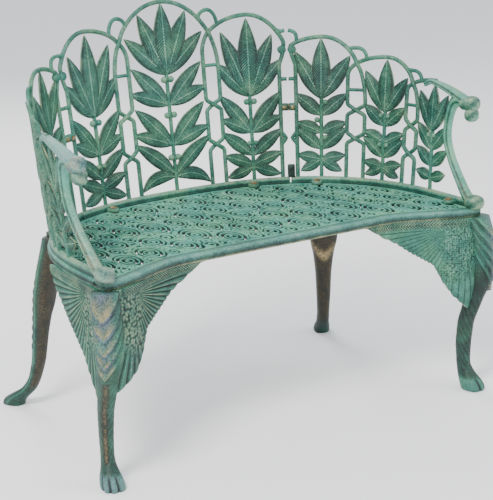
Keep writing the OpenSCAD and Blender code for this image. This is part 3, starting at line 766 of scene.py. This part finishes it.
def tracery(shell, loop, n):
    """The seat's arabesque: spirals, scrolls, commas and buttons that touch all over."""
    rng = np.random.default_rng(11)
    for x, y, r in packed_circles(loop, n, rng):
        start = rng.uniform(0, 2 * math.pi)
        hand = 1 if rng.random() < 0.5 else -1
        bend = rng.uniform(0.4, 1.1)
        for side in ((1, -1) if x > 0.6 else (1,)):
            at = np.array([side * x, y])
            a0, h = start if side > 0 else math.pi - start, hand * side
            if r > 10.5:
                spiral(shell, at, r, a0, h, 0.45 + (r - 4.0) / RING_PITCH, 5.0 + 0.035 * r)
            elif r > 3.6:
                comma(shell, at, r, a0, h * bend)
            else:
                bulb(shell, at * STRETCH, r + 2.2)


def comma(shell, at, r, start, bend):
    """A small teardrop with a bent tail."""
    t = np.linspace(-1, 1, 11)
    a = start + bend * t
    pts = (at + np.stack([r * t * np.cos(a), r * t * np.sin(a)], -1)) * STRETCH
    full = min(1.3 * r, 7.5) * np.sqrt(np.clip(1 - t**2, 0, 1)) * (1 - 0.45 * t)
    strand(shell, pts, np.maximum(1.6, full))


def seat():
    shell = Shell()
    loop, n = seat_outline()
    seat_rim(shell, loop, n)
    inner = loop - unit(smooth_ring(n, 7)) * (RIM_W + 1.5)
    strand(shell, np.vstack([inner, inner[:2]]), 6.0, height=0.8)
    tracery(shell, loop, n)
    return shell


# ---- legs ----
FRONT_FOOT = (-465.0, -267.0)
REAR_FOOT = (-432.0, 290.0)
FRONT_TURN = math.radians(-100)
REAR_TURN = math.radians(120)
LEG_TOP = 412.0
# Each ring is height, distance out from the foot, half depth and half width
FRONT_RINGS = [(0, 0, 26, 22), (9, 0, 29, 25), (24, -11, 25, 21), (42, -23, 19, 15),
               (60, -28, 17, 13), (108, -28, 20, 14), (161, -21, 20, 16), (207, -2, 21, 18),
               (260, 14, 26, 22), (302, 21, 29, 26), (350, 19, 27, 25), (LEG_TOP, 9, 23, 22)]
REAR_RINGS = [(0, -2, 27, 20), (9, 0, 28, 21), (22, -18, 24, 19), (42, -48, 17, 15),
              (70, -66, 14, 14), (113, -80, 15, 16), (185, -91, 17, 19), (230, -99, 19, 24),
              (275, -109, 21, 33), (330, -124, 22, 38), (LEG_TOP, -150, 23, 40)]


def loft(rings, foot, turn, relief, rows=230, around=120):
    """A leg's skin through the rings, with the lift that the relief function gives for each height
    and angle raised on it; the tones it also gives, painted shade among them, come back with the
    points.
    """
    r = np.array(rings, float)
    z = np.concatenate([[0, 1.2, 3], np.linspace(5, LEG_TOP, rows)])
    keep = [np.interp(z, r[:, 0], r[:, i]) for i in range(1, 4)]
    smooth = []
    for k, v in enumerate(keep):
        w = np.exp(-(np.arange(-12, 13) / 6.0) ** 2)
        v = np.convolve(np.pad(v, 12, "edge"), w / w.sum(), "valid")
        smooth.append(v)
    out, deep, wide = smooth
    ease_in = np.array([0.9, 0.97, 1.0] + [1.0] * rows)
    a = np.linspace(0, 2 * math.pi, around, endpoint=False)
    ca, sa = np.cos(a)[None, :], np.sin(a)[None, :]
    k = (np.abs(ca) ** 2.4 + np.abs(sa) ** 2.4) ** (-1 / 2.4)
    zz = z[:, None] * np.ones_like(ca)
    d, w = deep[:, None] * ease_in[:, None], wide[:, None] * ease_in[:, None]
    lift, wear_and_shade = relief(zz, np.broadcast_to(a[None, :], zz.shape))
    u = out[:, None] + (d + lift) * k * ca
    v = (w + lift) * k * sa
    ct, st = math.cos(turn), math.sin(turn)
    p = np.stack([foot[0] + u * ct - v * st, foot[1] + u * st + v * ct, zz], -1)
    return p, wear_and_shade


def angle_from(a, middle):
    return (a - middle + math.pi) % (2 * math.pi) - math.pi


LOBES = [(355, 64), (320, 42), (292, 36), (262, 34), (238, 30)]
PANEL = math.radians(-32)


def front_relief(dark):
    """Relief of a front leg: stacked leaf lobes down the knee, barbs beside them, grooved toes.
    Its tones hold painted shade under each lobe and in the grooves, and painted highlight on the
    lobes.
    """
    def at(z, a):
        off = angle_from(a, PANEL)
        side = off * 27.0
        wide = np.where(side > 0, 3.4, 1.7)
        lift = np.zeros_like(z)
        tone = np.full_like(z, 0.45)
        rub = np.zeros_like(z)
        pale = np.zeros_like(z)
        lobed = np.zeros_like(z)
        rust = np.zeros_like(z)
        for tip, length in LOBES:
            half = 10 + 14 * np.clip((tip - 150) / 200, 0, 1)
            low = tip + 24 * (np.abs(side) / half) ** 1.15
            t = (z - low) / length
            near = np.abs(side) < half * wide
            on = (t > 0) & (t < 1) & near
            full = np.where(on, (1 - t.clip(0, 1)) ** 0.8 * np.minimum(1, t.clip(0, 1) * 16), 0)
            ridge = np.exp(-(side / 2.4) ** 2) - 0.5 * np.exp(-((np.abs(side) - 6) / 2.2) ** 2)
            taper = np.clip(wide - np.abs(side) / half, 0, 1) ** 0.5
            lift = np.maximum(lift, full * (7.6 + 1.6 * ridge) * taper)
            tone = np.where(on, 0.18 + 0.7 * full, tone)
            core = np.clip(1.5 - np.abs(side) / half, 0, 1)
            rub = np.where(on, np.clip(1.25 * full**2.4 * core, 0, 1), rub)
            rust = np.where(on, 0.75 * full**1.2 * core * (1 - full**5), rust)
            pale = np.where(on, 0.85 * core * np.clip(1 - full, 0, 1), pale)
            # Painted shadow: a dark band just under each lobe's tip.
            tone = np.where((t > -0.12) & (t <= 0) & near, 0.0, tone)
            lobed = np.maximum(lobed, on)
        barb = 0.5 + 0.5 * np.cos(2 * math.pi * (z + np.abs(side) * 1.3) / 6.5)
        flank = (np.clip((np.abs(side) - 13) / 8, 0, 1) * ease((z - 150) / 50)
                 * ease((400 - z) / 12) * (1 - 0.7 * lobed))
        lift = lift + flank * (barb - 0.4) * 1.2
        tone = tone * (1 - flank * 0.6) + flank * 0.6 * (0.05 + 0.85 * barb)
        rub = rub * (1 - flank) + 0.14 * flank * barb
        pale = pale * (1 - flank)
        shaft = ease((240 - z) / 24) * ease((z - 40) / 20)
        vee = 0.5 + 0.5 * np.cos(2 * math.pi * (z - np.abs(side) * 1.2) / 19)
        core = np.exp(-(side / 11.0) ** 2)
        lift = lift - shaft * core * 1.6 + shaft * (1 - core) * (vee - 0.5) * 0.5
        # Painted shade in the shaft's middle groove, with brown there too.
        tone = np.where(shaft > 0.4, 0.42 + 0.16 * vee - 0.3 * core, tone)
        foot = ease((34 - z) / 12)
        front = np.cos(off) > 0
        groove = sum(np.exp(-((off - to) / 0.13) ** 2) for to in (-0.75, 0.0, 0.75))
        claw = foot * front * groove
        lift = lift - 3.6 * claw + 1.2 * foot * front
        # Painted shade in the toe grooves, lighter on the toes.
        tone = (tone - dark * ease((330 - z) / 60)) * (1 - foot) + foot * (0.7 - 0.7 * claw)
        pale = np.maximum(pale, foot * (0.6 - 2 * dark) * (1 - claw))
        rub = rub * (1 - foot) * (1 - dark) + shaft * core**2 * (0.36 - dark)
        return lift, {"relief": tone.clip(0, 1), "rub": rub.clip(0, 1), "pale": pale.clip(0, 1),
                      "earth": (shaft * core * 0.8 + (1 - foot) * rust).clip(0, 1)}
    return at


def rear_relief(gold):
    """Relief of a rear leg: slanting ropes between two ridges, and a brown inner face darkened by
    painted shade; the ridges are lighter and the toe grooves hold painted shade.
    """
    def at(z, a):
        off = angle_from(a, 0.0)
        rope_zone = ease((z - 130) / 25) * ease((330 - z) / 30)
        rope = 0.5 + 0.5 * np.cos(2 * math.pi * (z + np.abs(off) * 16) / 23)
        front = np.exp(-(off / 0.95) ** 4)
        lift = rope_zone * front * (rope - 0.4) * 3.4
        ridge = sum(np.exp(-((off - to) / 0.12) ** 2) for to in (-1.35, 1.35))
        lift = lift + 1.6 * ridge * ease((z - 25) / 30)
        tone = 0.32 + rope_zone * front * (rope - 0.5) * 0.8 + 0.3 * ridge
        # The inner face, turned in under the seat, is painted darker and brown: painted shade,
        # partly brown dirt.
        inner = np.clip(-np.cos(off) * 1.6 + 0.2, 0, 1) * ease((z - 30) / 40)
        tone = tone * (1 - 0.8 * inner)
        tip = np.exp(-((z - 228 - np.abs(angle_from(a, math.pi)) * 30) / 17) ** 2) * inner
        toe = ease((24 - z) / 8) * (np.cos(off) > 0.2)
        groove = sum(np.exp(-((off - to) / 0.14) ** 2) for to in (-0.5, 0.5)) * toe
        lift = lift - 2.6 * groove + 1.6 * tip
        return lift, {"relief": (tone - 0.6 * groove).clip(0, 1),
                      "earth": (0.95 * inner).clip(0, 1),
                      "rub": (0.16 * ridge + gold * tip).clip(0, 1),
                      "pale": (0.15 * toe).clip(0, 1)}
    return at


FRONT_EDGE = [(-190, 413), (-211, 410), (-252, 385), (-285, 367), (-318, 342), (-363, 312),
              (-381, 270), (-400, 240), (-429, 213), (-452, 196)]
SIDE_EDGE = [(-40, 413), (-63, 372), (-119, 312), (-179, 256), (-213, 214), (-232, 184),
             (-256, 166)]
WING_INSET = 3.0
SIDE_SHIFT = -185.0           # from the side wing's y to the x that its feathers are drawn at


def leg_y(z):
    r = np.array(FRONT_RINGS, float)
    out = np.interp(z, r[:, 0], r[:, 1])
    return FRONT_FOOT[1] + out * math.sin(FRONT_TURN), FRONT_FOOT[0] + out * math.cos(FRONT_TURN)


WING_ROOT = (-400.0, 394.0)   # where the long feathers meet, as if the leg stood at x = -465
FEATHER = 5.8                 # angle from one long feather to the next, in degrees
BAND = 19.0                   # depth of the herringbone band under the lip


def pebbles(x, z, size):
    """Irregular round scales about size apart, 1 at their middles and 0 between them."""
    u, v = x / size, z / size
    nearest = np.full(x.shape, 9.0)
    for i in (-1, 0, 1):
        for j in (-1, 0, 1):
            cu, cv = np.floor(u) + i, np.floor(v) + j
            hash_u = np.sin(cu * 12.99 + cv * 78.23) * 43758.5
            hash_v = np.sin(cu * 39.35 + cv * 11.14) * 24634.6
            pu = cu + 0.5 + 0.32 * (2 * (hash_u % 1) - 1)
            pv = cv + 0.5 + 0.32 * (2 * (hash_v % 1) - 1)
            nearest = np.minimum(nearest, np.hypot(u - pu, v - pv))
    return np.clip(1 - (nearest / 0.62) ** 2.6, 0, 1) ** 0.7


def feathers(x, z, top, flat):
    """Relief of a wing: a herringbone band under the lip, scales by the leg, long feathers."""
    dx, dz = x - WING_ROOT[0], z - WING_ROOT[1]
    rad = np.hypot(dx, dz)
    ang = np.degrees(np.arctan2(-dz, dx))
    depth = top - z
    band = ease((BAND - depth) / 3) * ease((x + 440) / 20)
    barb = 0.5 + 0.5 * np.cos(2 * math.pi * (x + np.abs(depth - BAND / 2) * 1.1) / 6.2)
    rope = np.exp(-((depth - BAND / 2) / 1.4) ** 2)
    band_lift = 2.6 - 0.012 * (depth - BAND / 2) ** 2 + 1.1 * barb + 0.8 * rope
    dome = pebbles(x, z, 4.6 if flat else 7.4)
    scales = ease((-368 - x + 6 * np.sin(z / 9)) / 26) * ease((z - 262 + 0.5 * (x + 440)) / 60)
    k = (ang + 0.03 * rad) / FEATHER
    across = (k % 1) - 0.5
    edge = 9.0 if flat else 3.0
    blade = np.clip(1 - (np.abs(across) / 0.5) ** edge, 0, 1)
    shaft = np.exp(-((across - 0.1) * FEATHER * rad * 0.0175 / 1.0) ** 2)
    hair = 0.5 + 0.5 * np.cos(2 * math.pi * (rad + np.abs(across) * 24) / 4.4)
    long_lift = (1.5 if flat else 2.4) * blade + 0.5 * shaft + 0.3 * hair * blade
    lift = scales * (1.0 if flat else 2.2) * dome + (1 - scales) * long_lift
    lift = band * band_lift + (1 - band) * lift
    # Painted shade between the feathers, scales and barbs, lighter on their tops.
    long_tone = (0.05 + 0.62 * blade + 0.1 * hair) if flat else (0.1 + 0.5 * blade + 0.25 * shaft)
    tone = scales * (0.2 + 0.6 * dome) + (1 - scales) * long_tone
    tone = band * (0.2 + 0.65 * barb * (1 - 0.4 * rope)) + (1 - band) * tone
    bright = 0.5 + 0.5 * np.sin(np.floor(k) * 2.4)
    long_rub = 0.2 * hair * blade if flat else (0.2 + 0.55 * bright) * shaft
    rub = scales * dome**2 * (0.3 if flat else 0.5) + (1 - scales) * long_rub
    rub = band * (0.05 + 0.4 * barb) + (1 - band) * rub
    return lift, tone, rub


def wing_grid(shell, along, edge, top, place, shift, flat):
    """A wing plate between the lip and its scalloped lower edge, carved on its outer face."""
    e = np.array(edge, float)
    order = np.argsort(e[:, 0])
    low = np.interp(along, e[order, 0], e[order, 1])
    steps = 110
    t = np.linspace(0, 1, steps)[None, :]
    dx, dz = along + shift - WING_ROOT[0], low - WING_ROOT[1]
    k = (np.degrees(np.arctan2(-dz, dx)) + 0.03 * np.hypot(dx, dz)) / FEATHER
    low = low - 3.2 * np.abs(np.sin(math.pi * k)) * np.clip((top - low) / 30, 0, 1)
    z = top * (1 - t) + low[:, None] * t
    x = along[:, None] * np.ones_like(t)
    lift, tone, rub = feathers(x + shift, z, top, flat)
    thin = np.clip((top - low) / 12, 0.1, 1)[:, None] * np.clip((z - low[:, None]) / 5, 0.15, 1)
    face = place(x, z, lift * thin + 1.5)
    back = place(x, z, np.full_like(x, -4.5) + 1.5 * (1 - thin))
    rim = 0.5 * np.clip(1 - (z - low[:, None]) / 2.5, 0, 1)
    shell.grid(face, relief=tone, rub=np.maximum(rub, rim))
    # The back face, turned in under the seat, is painted dark: painted shade with a little brown.
    shell.grid(back, relief=0.3, earth=0.5)
    for i in (0, -1):
        shell.grid(np.stack([face[:, i], back[:, i]]), relief=0.75, rub=0.5 if i else 0)
        shell.grid(np.stack([face[i], back[i]]), relief=0.6)


def front_leg(mirror):
    """A front leg with its two wings. It is built on the left."""
    shell = Shell()
    skin, wear_and_shade = loft(FRONT_RINGS, FRONT_FOOT, FRONT_TURN, front_relief(0.24 if mirror else 0.04))
    shell.grid(skin, wrap_v=True, cap=True, **wear_and_shade)

    def place_front(x, z, lift):
        y_leg, x_leg = leg_y(z)
        blend = ease((x - x_leg - 4) / 110)
        y = (y_leg - 6) * (1 - blend) + (front_line(x) + WING_INSET + 3) * blend
        slope = (front_line(x + 2) - front_line(x - 2)) / 4 * blend
        n = np.stack([slope, -np.ones_like(slope)], -1)
        n /= np.linalg.norm(n, axis=-1, keepdims=True)
        return np.stack([x + n[..., 0] * lift, y + n[..., 1] * lift, z], -1)

    def place_side(y, z, lift):
        y_leg, x_leg = leg_y(z)
        blend = ease((y - y_leg - 4) / 110)
        x = (x_leg - 6) * (1 - blend) + (-CORNER_X + WING_INSET + 3) * blend
        return np.stack([x - lift, y, z], -1)

    x = np.linspace(-450, -191, 290)
    wing_grid(shell, x, FRONT_EDGE, LEG_TOP + 1, place_front, 0.0, mirror)
    y = np.linspace(-262, -41, 240)
    wing_grid(shell, y, SIDE_EDGE, LEG_TOP + 1, place_side, SIDE_SHIFT, mirror)
    corner = (-HALF_W + 7, SIDE_END + 7)
    # A post in the corner under the seat, dark with painted shade.
    turned(shell, corner, [(9.5, LEG_TOP - 3), (9.5, PAD_TOP)], 24, relief=0.3)
    for at in ((-200, float(front_line(200)) + 24), (-CORNER_X + 22, -70)):
        pad(shell, at)
    return mirrored(shell) if mirror else shell


def pad(shell, at):
    """A square screw pad under the seat with eased corners."""
    low = PAD_TOP - PAD_T
    rings = [(0.9 * PAD_R, low), (PAD_R, low + 1.5), (PAD_R, PAD_TOP)]
    # Darker and brown: painted shade under the seat.
    turned(shell, at, rings, 32, 5.0, relief=0.5, earth=0.3)


def rear_leg(mirror):
    """A rear leg with its bolting pad. It is built on the left."""
    shell = Shell()
    skin, wear_and_shade = loft(REAR_RINGS, REAR_FOOT, REAR_TURN, rear_relief(0.9 if mirror else 0.2))
    shell.grid(skin, wrap_v=True, cap=True, **wear_and_shade)
    hole = plan(-LUG_S[1]) - outward(-LUG_S[1]) * LUG_IN
    top = np.asarray(REAR_FOOT) - 150 * np.array([math.cos(REAR_TURN), math.sin(REAR_TURN)])
    for centre, r in ((hole, 16), (top, 22)):
        rings = [(r, PAD_TOP), (r, PAD_TOP - PAD_T), (0.9 * r, LEG_TOP - 2)]
        # Dark and brown: painted shade under the seat.
        turned(shell, centre, rings, 40, relief=0.4, earth=0.5)
    return mirrored(shell) if mirror else shell


# ---- materials ----
class Nodes:
    """A short way to wire a material's nodes."""

    def __init__(self, material):
        material.use_nodes = True
        self.tree = material.node_tree
        self.tree.nodes.clear()

    def add(self, kind, inputs=None, **settings):
        node = self.tree.nodes.new(kind)
        for key, value in settings.items():
            setattr(node, key, value)
        for key, value in (inputs or {}).items():
            socket = node.inputs[key]
            if isinstance(value, bpy.types.NodeSocket):
                self.tree.links.new(value, socket)
            else:
                socket.default_value = value
        return node

    def wear_and_shade(self, name):
        return self.add("ShaderNodeAttribute", attribute_name=name).outputs["Fac"]

    def noise(self, place, scale, detail=4.0, rough=0.55):
        return self.add("ShaderNodeTexNoise", {"Vector": place, "Scale": scale, "Detail": detail,
                                               "Roughness": rough}).outputs["Fac"]

    def math(self, kind, a, b=0.0, clamp=False):
        node = self.add("ShaderNodeMath", {0: a, 1: b}, operation=kind, use_clamp=clamp)
        return node.outputs[0]

    def fit(self, value, low, high, to_low=0.0, to_high=1.0):
        node = self.add("ShaderNodeMapRange", {"Value": value, "From Min": low, "From Max": high,
                                               "To Min": to_low, "To Max": to_high})
        return node.outputs[0]

    def mix(self, factor, a, b, blend="MIX"):
        node = self.add("ShaderNodeMix", data_type="RGBA", blend_type=blend)
        for index, value in ((0, factor), (6, a), (7, b)):
            socket = node.inputs[index]
            if isinstance(value, bpy.types.NodeSocket):
                self.tree.links.new(value, socket)
            elif index == 0:
                socket.default_value = value
            else:
                socket.default_value = (*value, 1)
        return node.outputs[2]

    def ramp(self, value, stops):
        node = self.add("ShaderNodeValToRGB", {"Fac": value})
        while len(node.color_ramp.elements) < len(stops):
            node.color_ramp.elements.new(0.5)
        for element, (at, colour) in zip(node.color_ramp.elements, stops):
            element.position = at
            element.color = (*colour, 1)
        return node.outputs["Color"]


DARK, DEEP, MID, LIGHT = ((0.003, 0.012, 0.009), (0.010, 0.058, 0.040), (0.030, 0.150, 0.102),
                          (0.11, 0.36, 0.26))
PALE_A, PALE_B = (0.16, 0.33, 0.34), (0.20, 0.21, 0.32)
GOLD, CREAM = (0.30, 0.21, 0.07), (0.56, 0.46, 0.26)
# The brown and the near black serve for brown dirt and for painted shade under the seat.
BROWN, SHADE_AND_DIRT_BLACK = (0.060, 0.042, 0.018), (0.008, 0.010, 0.007)


def verdigris_and_shade(name, shift=0.0, pale_gain=1.0, earth_and_shade_gain=0.0, rub_gain=1.0):
    """Weathered green patina, pale on plain tops and gold where it is rubbed; dark in the hollows
    and on undersides with patina and painted shade, lighter on raised tops with painted highlight,
    and brown with dirt and painted shade under the seat.
    """
    material = bpy.data.materials.new(name)
    n = Nodes(material)
    place = n.add("ShaderNodeTexCoord").outputs["Object"]
    broad = n.noise(place, 7.0, 3.0)
    cloud = n.noise(place, 34.0, 6.0, 0.62)
    fine = n.noise(place, 260.0, 5.0, 0.6)
    speck = n.noise(place, 900.0, 2.0, 0.5)
    relief = n.wear_and_shade("relief")
    tone = n.math("ADD", n.math("MULTIPLY", n.fit(cloud, 0.3, 0.7), 0.30),
                  n.math("MULTIPLY", n.fit(broad, 0.35, 0.65), 0.22))
    tone = n.math("ADD", tone, n.math("MULTIPLY", n.fit(fine, 0.35, 0.65), 0.26))
    # Painted shade and painted highlight: the tone drops in hollows and on undersides and rises on
    # raised tops.
    tone = n.math("ADD", tone, n.math("MULTIPLY", n.math("SUBTRACT", relief, 0.5), 0.95))
    tone = n.math("ADD", tone, shift, clamp=True)
    green = n.ramp(tone, [(0.0, DARK), (0.26, DEEP), (0.55, MID), (0.95, LIGHT)])
    hue = n.mix(n.fit(n.noise(place, 14.0, 3.0), 0.4, 0.62), (0.80, 1.0, 1.10), (1.14, 1.0, 0.86))
    green = n.mix(0.75, green, hue, "MULTIPLY")
    pale = n.mix(n.fit(cloud, 0.4, 0.6), PALE_A, PALE_B)
    pale_mask = n.math("MULTIPLY", n.wear_and_shade("pale"), n.fit(fine, 0.32, 0.55), clamp=True)
    colour = n.mix(n.math("MULTIPLY", pale_mask, 0.85 * pale_gain, clamp=True), green, pale)
    # Brown dirt and painted shade: near black to brown, laid under the seat, on inner faces and in
    # recesses.
    earth = n.mix(n.fit(fine, 0.38, 0.62), SHADE_AND_DIRT_BLACK, BROWN)
    earth_and_shade_mask = n.math("MULTIPLY", n.math("ADD", n.wear_and_shade("earth"), earth_and_shade_gain, clamp=True),
                        n.fit(cloud, 0.30, 0.5), clamp=True)
    colour = n.mix(n.math("MULTIPLY", earth_and_shade_mask, 0.9), colour, earth)
    gold = n.mix(n.fit(speck, 0.4, 0.62), GOLD, CREAM)
    worn = n.math("ADD", n.fit(fine, 0.3, 0.66, 0.35, 1.0), n.fit(cloud, 0.35, 0.65, -0.4, 0.25))
    rub = n.math("MULTIPLY", n.math("MULTIPLY", n.wear_and_shade("rub"), rub_gain), worn, clamp=True)
    rub = n.fit(rub, 0.12, 0.85)
    colour = n.mix(n.math("MULTIPLY", rub, 0.8), colour, gold)
    rough = n.math("ADD", n.fit(fine, 0.3, 0.7, 0.44, 0.68), n.math("MULTIPLY", rub, -0.14))
    height = n.math("ADD", n.math("MULTIPLY", fine, 0.7), n.math("MULTIPLY", speck, 0.3))
    bump = n.add("ShaderNodeBump", {"Height": height, "Strength": 0.42, "Distance": 0.0011})
    metal = n.math("MULTIPLY", rub, 0.45)
    shader = n.add("ShaderNodeBsdfPrincipled", {
        "Base Color": colour, "Roughness": rough, "Metallic": metal,
        "Normal": bump.outputs["Normal"], "Specular IOR Level": 0.42})
    out = n.add("ShaderNodeOutputMaterial")
    n.tree.links.new(shader.outputs[0], out.inputs[0])
    return material


def zinc():
    """Tarnished yellow zinc of the bolts, browned in patches."""
    material = bpy.data.materials.new("tarnished_zinc")
    n = Nodes(material)
    place = n.add("ShaderNodeTexCoord").outputs["Object"]
    cloud = n.noise(place, 160.0, 5.0)
    fine = n.noise(place, 900.0, 3.0)
    colour = n.ramp(cloud, [(0.3, (0.07, 0.05, 0.03)), (0.48, (0.24, 0.17, 0.08)),
                            (0.7, (0.46, 0.38, 0.22))])
    bump = n.add("ShaderNodeBump", {"Height": fine, "Strength": 0.5, "Distance": 0.0006})
    shader = n.add("ShaderNodeBsdfPrincipled", {
        "Base Color": colour, "Roughness": n.fit(fine, 0.3, 0.7, 0.35, 0.65), "Metallic": 0.7,
        "Normal": bump.outputs["Normal"]})
    out = n.add("ShaderNodeOutputMaterial")
    n.tree.links.new(shader.outputs[0], out.inputs[0])
    return material


# ---- the pieces ----
BACK = verdigris_and_shade("back_patina_and_shade", shift=0.03, pale_gain=0.9)
SEAT = verdigris_and_shade("seat_patina_and_shade", shift=0.04, pale_gain=0.9)
# The legs get more of the brown and painted shade all over.
LEG = verdigris_and_shade("leg_patina_and_shade", shift=-0.03, earth_and_shade_gain=0.10)

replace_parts(seat().make("seat_tracery", SEAT, "seat_casting"), "seat_plate")
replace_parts(back_centre().make("back_centre_look", BACK, "back_casting"), "back_centre")
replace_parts(back_side(True).make("back_left_look", BACK, "back_casting"), "back_left")
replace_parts(back_side(False).make("back_right_look", BACK, "back_casting"), "back_right")
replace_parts(front_leg(False).make("front_leg_left_look", LEG, "leg_casting"), "front_leg_left")
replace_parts(front_leg(True).make("front_leg_right_look", LEG, "leg_casting"),
            "front_leg_right")
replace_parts(rear_leg(False).make("rear_leg_left_look", LEG, "leg_casting"), "rear_leg_left")
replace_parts(rear_leg(True).make("rear_leg_right_look", LEG, "leg_casting"), "rear_leg_right")

ZINC = zinc()
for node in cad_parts:
    piece = bpy.data.objects.get(node)
    if piece and piece.type == "MESH" and piece.material_slots and not piece.hide_render:
        for holder in piece.material_slots:
            holder.material = ZINC

# ---- floor, light and camera ----
floor_mesh = bpy.data.meshes.new("floor")
floor_mesh.from_pydata([(-9, -9, 0), (9, -9, 0), (9, 9, 0), (-9, 9, 0)], [], [(0, 1, 2, 3)])
floor = bpy.data.objects.new("floor", floor_mesh)
bpy.context.scene.collection.objects.link(floor)
paper = bpy.data.materials.new("paper")
paper.use_nodes = True
paper.node_tree.nodes["Principled BSDF"].inputs["Base Color"].default_value = (0.95, 0.95, 0.95, 1)
paper.node_tree.nodes["Principled BSDF"].inputs["Roughness"].default_value = 0.9
floor_mesh.materials.append(paper)


def lamp(name, at, size, power, colour=(1, 1, 1)):
    data = bpy.data.lights.new(name, "AREA")
    data.shape, data.size, data.energy, data.color = "SQUARE", size, power, colour
    piece = bpy.data.objects.new(name, data)
    piece.location = at
    piece.rotation_euler = (Vector((0, 0, 0.45)) - Vector(at)).to_track_quat("-Z", "Y").to_euler()
    bpy.context.scene.collection.objects.link(piece)


lamp("key", (-2.4, -1.6, 3.4), 1.3, 190, (1, 0.98, 0.95))
lamp("fill", (3.0, -2.6, 1.8), 2.2, 60, (0.95, 0.98, 1))
lamp("rim", (0.5, 3.4, 2.6), 1.8, 80)

world = bpy.data.worlds.new("studio")
world.use_nodes = True
world.node_tree.nodes["Background"].inputs["Color"].default_value = (0.93, 0.95, 1, 1)
world.node_tree.nodes["Background"].inputs["Strength"].default_value = 1.15
bpy.context.scene.world = world

CAMERA_AT = (-1.7081, -2.7910, 1.2640)
YAW, PITCH, ROLL = math.radians(31.92), math.radians(15.57), math.radians(-1.75)


def camera():
    look = Vector((math.sin(YAW) * math.cos(PITCH), math.cos(YAW) * math.cos(PITCH),
                   -math.sin(PITCH)))
    right = Vector((math.cos(YAW), -math.sin(YAW), 0))
    up = right.cross(look)
    tilted_right = math.cos(ROLL) * right + math.sin(ROLL) * up
    tilted_up = -math.sin(ROLL) * right + math.cos(ROLL) * up
    matrix = Matrix((tilted_right, tilted_up, -look)).transposed().to_4x4()
    matrix.translation = Vector(CAMERA_AT)
    data = bpy.data.cameras.new("camera")
    data.lens = 109.9
    piece = bpy.data.objects.new("camera", data)
    piece.matrix_world = matrix
    bpy.context.scene.collection.objects.link(piece)
    bpy.context.scene.camera = piece


camera()

bpy.context.view_layer.update()
